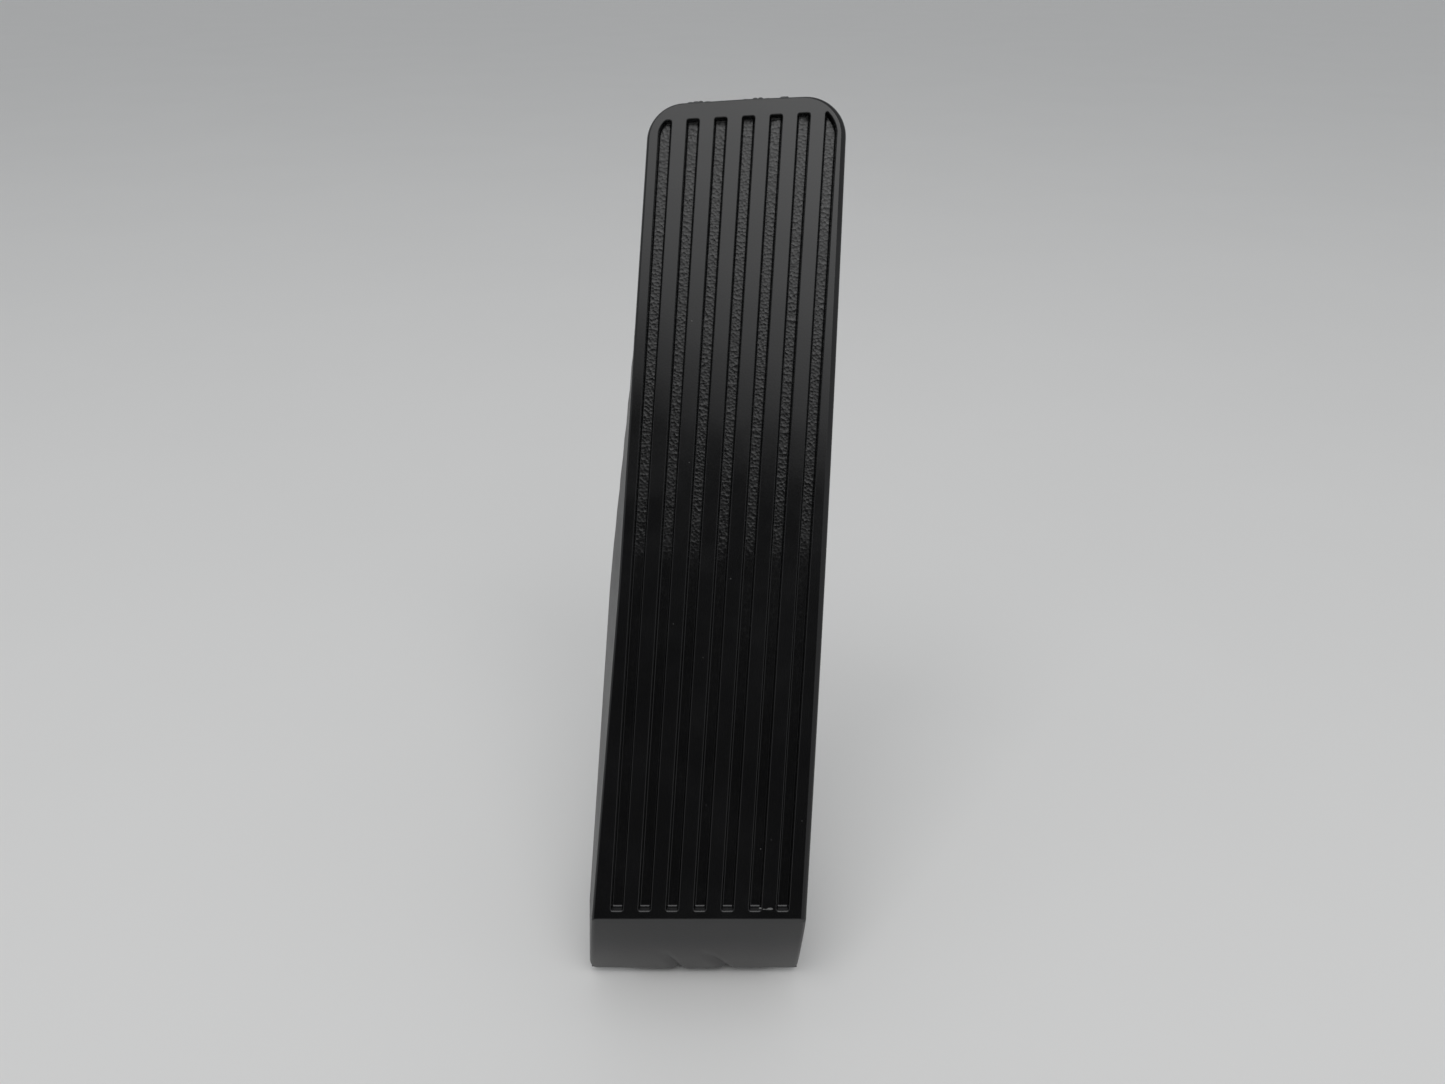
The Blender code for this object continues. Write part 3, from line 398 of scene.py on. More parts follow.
@dataclass(frozen=True)
class PlatedFinish:
    """Plated or bare metal with a drawn grain, stains and an uneven passivation."""

    name: str
    colour: Colour
    tint: Colour
    rough: float
    grain: Place

    def material(self) -> bpy.types.Material:
        """Builds the finish as nodes."""
        g = Graph(self.name)
        clouds = g.noise(120.0, 4.0)
        lines = g.stretched(self.grain)
        stains = g.noise(260.0, 5.0, 0.7).above(0.62, 0.12)
        tone = g.mix(clouds.above(0.35, 0.35), self.colour, self.tint)
        tone = g.mix(stains * 0.35, tone, tuple(0.45 * c for c in self.colour))
        rough = self.rough + (lines - 0.5) * 0.18 + stains * 0.2
        normal = g.bump(lines, 0.012 * MM, 0.5)
        return g.finish({"Base Color": tone, "Roughness": rough, "Metallic": 1.0, "Normal": normal})


@dataclass(frozen=True)
class NylonFinish:
    """Natural nylon: waxy, slightly yellowed, greased where it runs."""

    name: str
    colour: Colour
    rough: float

    def material(self) -> bpy.types.Material:
        """Builds the finish as nodes."""
        g = Graph(self.name)
        clouds = g.noise(150.0, 3.0)
        grease = g.noise(230.0, 4.0, 0.65).above(0.58, 0.14)
        tone = g.mix(clouds, self.colour, tuple(0.88 * c for c in self.colour))
        tone = g.mix(grease * 0.5, tone, (0.24, 0.2, 0.13))
        rough = self.rough - grease * 0.18
        normal = g.bump(g.noise(1800.0, 2.0), 0.02 * MM, 0.5)
        values = {"Base Color": tone, "Roughness": rough, "Normal": normal, "Subsurface Weight": 0.15}
        return g.finish({**values, "Subsurface Scale": 1.5 * MM})


class Finishes:
    """Every finish on the pedal, built once."""

    def __init__(self) -> None:
        """Builds the materials."""
        black = (0.006, 0.006, 0.0063)
        worn_black = (0.02, 0.02, 0.021)
        grey = (0.12, 0.12, 0.118)
        dust = (0.156, 0.155, 0.152)
        drawn = (2600.0, 120.0, 120.0)
        rubber = [
            RubberFinish("tread_rubber", black, dust, 0.16, 2400.0, 0.006 * MM, 0.12 * MM),
            # The skirt rubber carries a painted reflection: it is lighter towards the floor.
            RubberFinish(
                "skirt_rubber", worn_black, dust, 0.42, 1700.0, 0.02 * MM, 0.12 * MM, painted_sheen_below=22.0 * MM
            ),
            RubberFinish(
                "groove_floor_rubber", black, dust, 0.2, 1200.0, 0.09 * MM, 0.1 * MM, stipple_from=113.0 * MM
            ),
            # Painted highlight: a light grey rubber for the burr bits stands in for a glint.
            RubberFinish("scuffed_rubber", grey, dust, 0.5, 1700.0, 0.02 * MM, 0.0),
            RubberFinish("pad_rubber", worn_black, dust, 0.7, 1500.0, 0.05 * MM, 0.1 * MM),
        ]
        metal = [
            PlatedFinish("yellow_zinc", (0.62, 0.5, 0.24), (0.5, 0.46, 0.34), 0.34, drawn),
            PlatedFinish("ground_steel", (0.58, 0.57, 0.55), (0.5, 0.5, 0.5), 0.24, drawn),
            PlatedFinish("zinc_plate", (0.55, 0.56, 0.57), (0.45, 0.46, 0.48), 0.36, drawn),
            PlatedFinish("phosphate", (0.09, 0.09, 0.095), (0.06, 0.06, 0.062), 0.48, drawn),
            PlatedFinish("spring_wire", (0.2, 0.2, 0.2), (0.13, 0.12, 0.11), 0.34, drawn),
        ]
        self.tread, self.skirt, self.floor_grain, self.scuff, self.pad = (look.material() for look in rubber)
        self.paint = PaintFinish("satin_black_paint", (0.022, 0.022, 0.024), 0.42).material()
        self.yellow, self.bright, self.rivet, self.clip, self.spring = (look.material() for look in metal)
        self.nylon = NylonFinish("natural_nylon", (0.72, 0.69, 0.58), 0.46).material()


def add_object(name: str, data: bpy.types.Mesh | bpy.types.Curve) -> bpy.types.Object:
    """Puts a mesh or a curve into the scene at the origin."""
    obj = bpy.data.objects.new(name, data)
    bpy.context.scene.collection.objects.link(obj)
    return obj


def opened(mesh: bpy.types.Mesh) -> bmesh.types.BMesh:
    """A working copy of a mesh."""
    work = bmesh.new()
    work.from_mesh(mesh)
    return work


def closed(work: bmesh.types.BMesh, mesh: bpy.types.Mesh) -> bpy.types.Mesh:
    """Writes a working copy into a mesh and frees it."""
    work.to_mesh(mesh)
    work.free()
    return mesh


def merged(parts: list[bpy.types.Mesh]) -> bpy.types.Mesh:
    """Puts separate meshes into one, and removes them."""
    work = bmesh.new()
    for part in parts:
        work.from_mesh(part)
        bpy.data.meshes.remove(part)
    return closed(work, bpy.data.meshes.new("merged"))


def path_object(name: str, places: list[Place]) -> bpy.types.Object:
    """A straight-sided path through places, in the scene.

    Args:
        name: its name.
        places: the places, in order.

    Returns:
        The curve's object.
    """
    curve = bpy.data.curves.new(name, "CURVE")
    curve.dimensions = "3D"
    spline = curve.splines.new("POLY")
    spline.points.add(len(places) - 1)
    for point, place in zip(spline.points, places):
        point.co = (*place, 1.0)
    return add_object(name, curve)


def settled(obj: bpy.types.Object) -> bpy.types.Mesh:
    """Turns an object with modifiers into a plain mesh and removes it.

    Args:
        obj: the object to evaluate.

    Returns:
        The evaluated mesh.
    """
    bpy.context.view_layer.update()
    mesh = bpy.data.meshes.new_from_object(obj.evaluated_get(bpy.context.evaluated_depsgraph_get()))
    bpy.data.objects.remove(obj, do_unlink=True)
    return mesh


def combine(target: bpy.types.Mesh, other: bpy.types.Mesh, operation: str) -> bpy.types.Mesh:
    """Joins, trims or cuts one closed mesh with another.

    Args:
        target: the mesh to change.
        other: the mesh that changes it.
        operation: UNION, INTERSECT or DIFFERENCE.

    Returns:
        The new mesh.
    """
    body = add_object("work_body", target)
    tool = add_object("work_tool", other)
    step = body.modifiers.new("combine", "BOOLEAN")
    step.operation = operation
    step.object = tool
    step.solver = "EXACT"
    made = settled(body)
    bpy.data.objects.remove(tool, do_unlink=True)
    return made


def loft(rings: list[list[tuple]]) -> bpy.types.Mesh:
    """A closed skin through rings of equal length.

    Args:
        rings: the rings, each a list of places.

    Returns:
        The closed mesh.
    """
    work = bmesh.new()
    rows = [[work.verts.new(place) for place in ring] for ring in rings]
    count = len(rings[0])
    for upper, lower in zip(rows, rows[1:]):
        for i in range(count):
            j = (i + 1) % count
            work.faces.new((upper[i], upper[j], lower[j], lower[i]))
    work.faces.new(rows[0])
    work.faces.new(list(reversed(rows[-1])))
    bmesh.ops.recalc_face_normals(work, faces=work.faces)
    return closed(work, bpy.data.meshes.new("loft"))


def rounded(corners: list[tuple], steps: int) -> list[Point]:
    """An outline with rounded corners.

    Args:
        corners: each (u, v, radius).
        steps: arc steps at each corner.

    Returns:
        The outline's points.
    """
    points: list[Point] = []
    for i, (u, v, radius) in enumerate(corners):
        here = Vector((u, v))
        if radius <= 0:
            points.append((u, v))
            continue
        back = (Vector(corners[i - 1][:2]) - here).normalized()
        ahead = (Vector(corners[(i + 1) % len(corners)][:2]) - here).normalized()
        half = back.angle(ahead) / 2
        centre = here + (back + ahead).normalized() * radius / math.sin(half)
        start = here + back * radius / math.tan(half) - centre
        turn = start.angle_signed(here + ahead * radius / math.tan(half) - centre)
        for k in range(steps + 1):
            arm = start.copy()
            arm.rotate(Matrix.Rotation(-turn * k / steps, 2))
            points.append(tuple(centre + arm))
    return points


def grown(outline: list[Point], amount: float) -> list[Point]:
    """A convex outline grown outwards by the same amount all round.

    Args:
        outline: points in anticlockwise order.
        amount: how far to grow; negative shrinks.

    Returns:
        The grown outline, point for point.
    """
    made = []
    for i, place in enumerate(outline):
        here = Vector(place)
        back = (here - Vector(outline[i - 1])).normalized()
        ahead = (Vector(outline[(i + 1) % len(outline)]) - here).normalized()
        first = Vector((back.y, -back.x))
        second = Vector((ahead.y, -ahead.x))
        middle = (first + second).normalized()
        made.append(tuple(here + middle * amount / max(middle.dot(first), 0.3)))
    return made


def extruded(outline: list[Point], half: float) -> bpy.types.Mesh:
    """A side view in Y and Z given a width along X.

    Args:
        outline: points as (y, z).
        half: half the width.

    Returns:
        The closed mesh.
    """
    return loft([[(side * half, y, z) for y, z in outline] for side in (1, -1)])


def rolled(across: float, down: float, steps: int, lead: float) -> list[Point]:
    """A rolled edge's section, with a straight lead above the face for clean cuts.

    Args:
        across: how far in it reaches on the face.
        down: how deep it reaches.
        steps: arc steps.
        lead: how far above the face the lead starts.

    Returns:
        The section's places, each as an inset and a depth.
    """
    turns = [math.pi / 2 * k / steps for k in range(1, steps + 1)]
    section = [(across * (1 - math.sin(turn)), down * (1 - math.cos(turn))) for turn in turns]
    first, second = section[:2]
    run = (first[0] - second[0]) / (second[1] - first[1])
    return [(first[0] + run * (first[1] + lead), -lead)] + section


def clipped(shape: list[Point], limit: list[Point]) -> list[Point]:
    """Cuts one convex outline back to another.

    Args:
        shape: the outline to cut, anticlockwise.
        limit: the outline to stay inside, anticlockwise.

    Returns:
        The common outline, without near-double points.
    """
    points = list(shape)
    for i, start in enumerate(limit):
        a = Vector(limit[i - 1])
        way = Vector(start) - a
        if way.length < 1e-9:
            continue  # a doubled corner has no side to cut along
        kept: list[Point] = []
        for j, here in enumerate(points):
            last = points[j - 1]
            side = way.x * (here[1] - a.y) - way.y * (here[0] - a.x)
            before = way.x * (last[1] - a.y) - way.y * (last[0] - a.x)
            if side * before < 0:
                part = before / (before - side)
                kept.append(tuple(Vector(last).lerp(Vector(here), part)))
            if side >= 0:
                kept.append(here)
        points = kept
    return [p for j, p in enumerate(points) if (Vector(p) - Vector(points[j - 1])).length > 0.02 * MM]


def blunted(points: list[Point], cut: float) -> list[Point]:
    """Takes the tips off an outline's sharp corners.

    Args:
        points: the outline.
        cut: how much to take off along each side.

    Returns:
        The outline without tips.
    """
    soft: list[Point] = []
    for i, here in enumerate(points):
        corner = Vector(here)
        back, ahead = Vector(points[i - 1]) - corner, Vector(points[(i + 1) % len(points)]) - corner
        if back.angle(ahead) > math.radians(110.0):
            soft.append(here)
        else:
            soft += [tuple(corner + way.normalized() * min(cut, way.length * 0.45)) for way in (back, ahead)]
    return soft


def shade(mesh: bpy.types.Mesh, degrees: float) -> None:
    """Smooth shading with edges kept sharp past an angle."""
    mesh.shade_smooth()
    mesh.set_sharp_from_angle(angle=math.radians(degrees))


def evened(name: str, mesh: bpy.types.Mesh, degrees: float) -> bpy.types.Mesh:
    """Drops slivers, then shades a mesh smooth and keeps its flat faces flat.

    Args:
        name: the working object's name.
        mesh: the mesh to shade.
        degrees: the angle past which an edge stays sharp.

    Returns:
        The shaded mesh.
    """
    work = opened(mesh)
    bmesh.ops.dissolve_degenerate(work, dist=SLIVER, edges=work.edges)
    shade(closed(work, mesh), degrees)
    obj = add_object(name, mesh)
    weigh = obj.modifiers.new("flat_faces", "WEIGHTED_NORMAL")
    weigh.keep_sharp = True
    return settled(obj)


# A button's head behind the pan: radius and height past the pan's back, in millimetres
BUTTON_SECTION = (
    (3.0, -0.2), (3.2, 0.0), (4.7, 0.0), (5.0, -0.3), (4.9, -0.9), (4.2, -1.6), (3.2, -2.1), (2.6, -2.2)
)


@dataclass
class Tread:
    """The moulded rubber cover, with grooves, skirts, toe lip and retaining buttons.

    end_left and end_right are how far an outer groove's end is raised and its corner's radius.
    button_root is a radius and how far it runs into the face. hump is the foot's largest wave, as its
    height, place and half width, and ripple a smaller one, as its height, rate and start. Each of dents
    has its place at the foot, its slant and its half width.
    """

    length: float = 225.4 * MM
    fold_width: float = 57.7 * MM
    top_width: float = 54.6 * MM
    top_lean: float = 12.95 * MM
    top_rise: float = 2.9 * MM
    corner: float = 10.8 * MM
    crown: float = 0.35 * MM
    crown_radius: float = 200.0 * MM
    fold_radius: float = 0.7 * MM
    lip_radius: float = 0.6 * MM
    skirt_blend: float = 60.0 * MM
    face: float = 4.4 * MM
    wall: float = 2.8 * MM
    pocket: float = 6.5 * MM
    wrap: float = 1.9 * MM
    wrap_reach: float = 3.5 * MM
    wrap_from: float = 165.0 * MM
    skirt: float = 20.0 * MM
    skirt_full: float = 90.0 * MM
    skirt_start: float = 158.0 * MM
    toe_drop: float = 21.1 * MM
    flare_left: float = math.radians(11.7)
    flare_start: float = 166.0 * MM
    flare_steps: int = 8
    toe_lean: float = math.radians(7.5)
    toe_spread: float = 1.5 * MM
    right_bow: float = 0.5 * MM
    bow_steps: int = 9
    draft_left: float = math.radians(3.5)
    draft_right: float = math.radians(-3.5)
    draft_top: float = math.radians(3.0)
    grooves: int = 7
    pitch: float = 7.6 * MM
    groove_width: float = 3.4 * MM
    groove_depth: float = 2.4 * MM
    groove_shift: float = -0.65 * MM
    groove_lean: float = 0.0618
    end_left: Point = (0.9 * MM, 5.3 * MM)
    end_right: Point = (2.6 * MM, 8.3 * MM)
    groove_top: float = 4.6 * MM
    groove_toe: float = 2.4 * MM
    groove_corner: float = 0.6 * MM
    groove_draft: float = 0.2 * MM
    groove_tip: float = 0.35 * MM
    rim: float = 2.5 * MM
    face_z: float = 18.6 * MM
    edge_left: float = 0.9 * MM
    edge_right: float = 1.9 * MM
    edge_top: float = 0.7 * MM
    edge: float = 1.1 * MM
    lip_edge: float = 1.3 * MM
    groove_edge: float = 0.3 * MM
    groove_foot: float = 0.4 * MM
    toe_roll: float = 0.9
    foot_left: float = 2.6 * MM
    foot_right: float = 1.5 * MM
    foot_set: float = 0.9 * MM
    button_spread: float = 12.5 * MM
    button_rows: tuple[float, ...] = (60.0 * MM, 112.0 * MM, 196.0 * MM)
    button_root: Point = (3.0 * MM, 1.0 * MM)
    bow: float = 0.9 * MM
    hump: Place = (0.5 * MM, -9.0 * MM, 11.0 * MM)
    ripple: Place = (0.06 * MM, 0.31 / MM, 0.8)
    wave_reach: float = 26.0 * MM
    dent_depth: float = 1.15 * MM
    dents: tuple[Place, ...] = ((-7.5 * MM, 0.41, 1.1 * MM), (6.0 * MM, 0.6, 1.2 * MM))
    dent_from: float = 16.0 * MM
    dent_run: float = 7.0 * MM

    @property
    def left_slope(self) -> float:
        """How far the left edge leans per length."""
        return (self.top_lean - self.top_width / 2 + self.fold_width / 2) / self.length

    @property
    def right_slope(self) -> float:
        """How far the right edge leans per length."""
        return (self.top_lean + self.top_width / 2 - self.fold_width / 2) / self.length

    @property
    def top_slope(self) -> float:
        """How far the top edge rises per width."""
        return self.top_rise / self.top_width

    def left(self, y: float, inset: float) -> float:
        """The left edge at a height up the face."""
        return -self.fold_width / 2 + self.left_slope * y + inset * math.hypot(1.0, self.left_slope)

    def right(self, y: float, inset: float) -> float:
        """The right edge at a height up the face."""
        return self.fold_width / 2 + self.right_slope * y - inset * math.hypot(1.0, self.right_slope)

    def middle(self, y: float) -> float:
        """The middle of the face at a height."""
        return (self.left(y, 0.0) + self.right(y, 0.0)) / 2

    def left_side(self, y: float, inset: float) -> float:
        """The left edge with its spread along the deep skirt, straight down the toe lip."""
        up = max(0.0, y)
        return self.left(up, inset) - self.toe_spread * max(0.0, 1 - up / self.skirt_full)

    def right_side(self, y: float, inset: float) -> float:
        """The right edge, slightly bowed up the face and straight down the toe lip."""
        up = min(max(0.0, y), self.length)
        return self.right(up, inset) + self.right_bow * math.sin(math.pi * up / self.length)

    def left_lean(self, y: float) -> float:
        """How far the left wall stands out per depth: slight at the top, most where the skirt is deep."""
        if y < self.skirt_full:
            part = max(0.0, y) / self.skirt_full
            return math.tan(self.toe_lean + (self.flare_left - self.toe_lean) * part)
        part = min(1.0, max(0.0, (self.flare_start - y) / (self.flare_start - self.skirt_full)))
        return math.tan(self.draft_left + (self.flare_left - self.draft_left) * math.sin(part * math.pi / 2))

    def top_corners(self, left: float, right: float, top: float) -> tuple[Point, Point]:
        """Where the side edges meet the top edge.

        Args:
            left: how far the left edge is set in.
            right: how far the right edge is set in.
            top: how far the top edge is set in.

        Returns:
            The left corner and the right corner.
        """
        base = self.length - self.top_slope * self.top_lean - top * math.hypot(1.0, self.top_slope)
        left_y = (base + self.top_slope * self.left(0.0, left)) / (1 - self.top_slope * self.left_slope)
        right_y = (base + self.top_slope * self.right(0.0, right)) / (1 - self.top_slope * self.right_slope)
        return (self.left(left_y, left), left_y), (self.right(right_y, right), right_y)

    def outline(
        self, inset: float, start: float, depth: float | None = None, ease: float = 0.0
    ) -> list[Point]:
        """The tread's outline, set in, and drafted at a depth behind the face.

        Args:
            inset: how far inside the face's edge.
            start: where the outline starts, up the face.
            depth: how far behind the face, or None for plain upright sides.
            ease: how much of the rolled edges to take off, 0 to 1.

        Returns:
            The outline's points.
        """
        deep = depth or 0.0
        rolls = (self.edge_left, self.edge_right, self.edge_top)
        left_in, right_in, top_in = (inset + ease * roll for roll in rolls)
        left = left_in - deep * math.tan(self.draft_left)
        right = right_in - deep * math.tan(self.draft_right)
        left_top, right_top = self.top_corners(left, right, top_in - deep * math.tan(self.draft_top))
        radius = self.corner - min(inset + ease * self.edge_left, self.corner * 0.8)
        ridge = (Vector(left_top) + Vector(right_top)) / 2 + Vector((0.0, self.crown))
        top = [(*right_top, radius), (*ridge, self.crown_radius), (*left_top, radius)]
        if depth is None:
            foot = [(self.left(start, inset), start, 0.0), (self.right(start, inset), start, 0.0)]
            return rounded(foot + top, ARC_STEPS)
        rise = [start] + [self.length * k / self.bow_steps for k in range(self.bow_steps)]
        foot = [(self.right_side(y, right), y, 0.0) for y in rise]
        step = (self.flare_start - self.skirt_full) / self.flare_steps
        flank = [self.flare_start - step * k for k in range(self.flare_steps + 1)] + [0.0, start]
        side = [(self.left_side(y, left_in - deep * self.left_lean(y)), y, 0.0) for y in flank]
        return rounded(foot + top + side, ARC_STEPS)

    def top_line(self, first: float, last: float, depth: float) -> tuple[Place, ...]:
        """A line along the top wall.

        Args:
            first: where it starts, across the face.
            last: where it ends.
            depth: how far behind the face it runs.

        Returns:
            Its places.
        """
        base = self.length - self.top_slope * self.top_lean + depth * math.tan(self.draft_top)
        line = []
        steps = 8
        for k in range(steps + 1):
            x = first + (last - first) * k / steps
            bow = self.crown * (1 - abs(x - self.top_lean) / (self.top_width / 2))
            line.append((x, base + self.top_slope * x + bow, self.face_z - depth))
        return tuple(line)

    def toe_inner(self, depth: float) -> float:
        """How far up the face the inner side of the toe lip lies, at a depth."""
        slope = self.toe_drop / self.skirt
        return -depth * slope + self.wall * math.hypot(1.0, slope)

    def block(
        self, inset: float, start: float, low: float, high: float, drafted: bool = True
    ) -> bpy.types.Mesh:
        """A solid inside the outline between two depths.

        Args:
            inset: how far inside the face's edge.
            start: where it starts, up the face.
            low: the nearer depth.
            high: the further depth.
            drafted: whether its sides follow the draft.

        Returns:
            The closed mesh.
        """
        rings = []
        for depth in (low, high):
            ring = self.outline(inset, start, depth if drafted else None)
            rings.append([(x, y, self.face_z - depth) for x, y in ring])
        return loft(rings)

    def shell(self) -> bpy.types.Mesh:
        """The cover's body without its grooves: a rounded block, trimmed to its side view and hollowed."""
        over = 2.0 * MM
        rear = self.skirt + 6.0 * MM
        start = -self.toe_drop - 6.0 * MM
        reach = self.fold_width + self.top_lean
        far = self.length + 20.0 * MM
        skin = []
        for ease, drop in rolled(1.0, self.edge, 6, lead=0.3 * MM):
            skin.append([(x, y, self.face_z - drop) for x, y in self.outline(0.0, start, 0.0, ease)])
        skin.append([(x, y, self.face_z - rear) for x, y in self.outline(0.0, start, rear)])
        body = loft(skin)
        top_depth = self.pocket + self.wrap
        view = rounded(
            [
                (0.0, self.face_z, self.fold_radius),
                (far, self.face_z, 0.0),
                (far, self.face_z - top_depth, 0.0),
                (self.skirt_start, self.face_z - top_depth, self.skirt_blend),
                (self.skirt_full, self.face_z - self.skirt, self.skirt_blend),
                (-self.toe_drop, self.face_z - self.skirt, self.lip_radius),
            ],
            12,
        )
        body = combine(body, extruded(view, reach), "INTERSECT")
        self.ease_lip(body)
        hollow = self.block(self.wall, start, self.face - over, rear)
        inner = [
            (self.toe_inner(self.face), self.face_z - self.face),
            (far, self.face_z - self.face),
            (far, self.face_z - self.pocket),
            (self.wrap_from, self.face_z - self.pocket),
            (self.wrap_from, self.face_z - rear - over),
            (self.toe_inner(rear + over), self.face_z - rear - over),
        ]
        hollow = combine(hollow, extruded(inner, reach), "INTERSECT")
        body = combine(body, hollow, "DIFFERENCE")
        rim = self.wall + self.wrap_reach
        way = self.block(rim, self.skirt_full, self.pocket - 0.3 * MM, rear, drafted=False)
        return combine(body, way, "DIFFERENCE")

    def lip_axes(self) -> tuple[Vector, Vector]:
        """The directions down the toe lip and out of it."""
        along = Vector((0.0, -self.toe_drop, -self.skirt)).normalized()
        return along, Vector((0.0, along.z, -along.y))

    def ease_lip(self, mesh: bpy.types.Mesh) -> None:
        """Rounds the two edges where the toe lip meets the side walls.

        Args:
            mesh: the cover's outer block.
        """
        out = self.lip_axes()[1]
        work = opened(mesh)
        edges = []
        for edge in work.edges:
            ways = [face.normal for face in edge.link_faces]
            if max(way.dot(out) for way in ways) > 0.99 and max(abs(way.x) for way in ways) > 0.9:
                edges.append(edge)
        bmesh.ops.bevel(work, geom=edges, offset=self.lip_edge, segments=5, profile=0.5, affect="EDGES")
        closed(work, mesh)

    def groove_outline(self, index: int) -> list[Point]:
        """One groove's outline on the face, cut back at the rounded corners.

        Args:
            index: the groove, from the left.

        Returns:
            The outline's points, anticlockwise.
        """
        centre = self.groove_shift + (index - (self.grooves - 1) / 2) * self.pitch
        left_top, right_top = self.top_corners(self.rim, self.rim, self.groove_top)
        base = left_top[1] - self.top_slope * left_top[0]
        near, far = centre - self.groove_width / 2, centre + self.groove_width / 2
        low = self.groove_toe
        corners = [(edge + self.groove_lean * low, low, self.groove_corner) for edge in (near, far)]
        for edge in (far, near):
            high = (base + self.top_slope * edge) / (1 - self.top_slope * self.groove_lean)
            corners.append((edge + self.groove_lean * high, high, self.groove_corner))
        shape = rounded(corners, 5)
        if 0 < index < self.grooves - 1:
            return shape
        lift, corner = self.end_left if index == 0 else self.end_right
        left_top, right_top = self.top_corners(self.rim, self.rim, self.groove_top - lift)
        left_foot = (self.left(0.0, self.rim), 0.0, 0.0)
        if index == 0:
            edge = near - 0.02 * MM
            base = left_top[1] - self.top_slope * left_top[0]
            high = (base + self.top_slope * edge) / (1 - self.top_slope * self.groove_lean)
            left_foot = (edge, 0.0, 0.0)
            left_top = (edge + self.groove_lean * high, high)
        limit = [
            left_foot,
            (self.right(0.0, self.rim), 0.0, 0.0),
            (*right_top, corner),
            (*left_top, corner),
        ]
        return blunted(clipped(shape, rounded(limit, ARC_STEPS)), self.groove_tip)

    def groove_cutter(self) -> bpy.types.Mesh:
        """The grooves as one cutter, with a rolled rim and a rolled foot."""
        section = rolled(self.groove_edge, self.groove_edge, 5, lead=0.4 * MM)
        for k in range(5):
            turn = math.radians(22.5 * k)
            out = -self.groove_draft - self.groove_foot * (1 - math.cos(turn))
            section.append((out, self.groove_depth - self.groove_foot * (1 - math.sin(turn))))
        cutters = []
        for index in range(self.grooves):
            shape = self.groove_outline(index)
            rings = []
            for out, drop in section:
                stretch = out * self.toe_roll
                ring = [(x, y - stretch if y < 2 * self.groove_toe else y) for x, y in grown(shape, out)]
                rings.append([(x, y, self.face_z - drop) for x, y in ring])
            cutters.append(loft(rings))
        return merged(cutters)

    def buttons(self) -> bpy.types.Mesh:
        """The moulded buttons that hold the cover on the pan."""
        back = self.face_z - self.pocket
        stem, root = self.button_root
        section = [(stem, self.face_z - self.face + root)]
        section += [(radius * MM, back + rise * MM) for radius, rise in BUTTON_SECTION]
        turns = [2 * math.pi * k / 32 for k in range(32)]
        parts = []
        for row in self.button_rows:
            for side in (-1, 1):
                x = self.middle(row) + side * self.button_spread
                parts.append(loft([
                    [(x + radius * math.cos(turn), row + radius * math.sin(turn), height) for turn in turns]
                    for radius, height in section
                ]))
        return merged(parts)

    def foot_shift(self, place: Vector, left_over: float) -> Point:
        """How far a place near the lip's lower corners moves to round them.

        Args:
            place: the place on the lip.
            left_over: how far it lies above the lip's foot.

        Returns:
            The shift to the right and the shift up the lip.
        """
        deep = self.face_z - place.z
        from_left = place.x - self.left_side(place.y, -deep * self.left_lean(place.y))
        from_right = self.right_side(place.y, -deep * math.tan(self.draft_right)) - place.x
        for sign, side, radius in ((1, from_left, self.foot_left), (-1, from_right, self.foot_right)):
            a, b = min(radius, radius - side), min(radius, radius - left_over)
            if a > 0 and b > 0:
                pull = 1 - max(a, b) / math.hypot(a, b)
                return sign * a * pull, b * pull
        return 0.0, 0.0

    def sag_toe(self, mesh: bpy.types.Mesh) -> None:
        """Gives the toe lip its bow, its wavy foot with rounded corners and its two soft dents.

        Args:
            mesh: the cover, in the pedal's own frame.
        """
        work = opened(mesh)
        along, out = self.lip_axes()
        fold = Vector((0.0, 0.0, self.face_z))
        lip_length = math.hypot(self.toe_drop, self.skirt)
        above_fold = 0.4 * MM

        def slice_lip(place: Vector, normal: Vector) -> None:
            """Cuts the toe lip's own faces along a plane."""
            faces = [f for f in work.faces if all(v.co.y < above_fold for v in f.verts)]
            near = dict.fromkeys([part for f in faces for part in (*f.edges, *f.verts)])
            bmesh.ops.bisect_plane(work, geom=faces + list(near), dist=1e-7, plane_co=place, plane_no=normal)

        for k in range(-37, 33):
            slice_lip(Vector((k * 0.9 * MM, 0.0, 0.0)), Vector((1.0, 0.0, 0.0)))
        for k in range(1, 21):
            slice_lip(fold + along * (k * 1.4 * MM), along)
        for vert in work.verts:
            reach = (vert.co - fold).dot(along)
            if vert.co.y > above_fold or not 0.8 * MM < reach < lip_length:
                continue
            across, back = self.foot_shift(vert.co, lip_length - self.foot_set - reach)
            wave, sink = self.lip_wear(vert.co.x, reach, lip_length)
            vert.co += along * (wave - back) + out * sink
            vert.co.x += across
        closed(work, mesh)

    def lip_wear(self, x: float, reach: float, lip_length: float) -> Point:
        """How far a place on the lip has moved by wear.

        Args:
            x: the place across the lip.
            reach: how far down the lip it lies.
            lip_length: the lip's length.

        Returns:
            The shift down the lip and the shift out of it.
        """
        height, centre, half = self.hump
        wave = height * math.exp(-((x - centre) / half) ** 2)
        height, rate, start = self.ripple
        wave += height * math.sin(x * rate + start)
        low = reach - self.wave_reach
        dent = sum(math.exp(-((x - place - slant * low) / half) ** 2) for place, slant, half in self.dents)
        deep = min(1.0, max(0.0, (reach - self.dent_from) / self.dent_run))
        bow = 4 * self.bow * (reach / lip_length) * (1 - reach / lip_length)
        return wave * min(1.0, reach / self.wave_reach) ** 2, bow - self.dent_depth * dent * deep

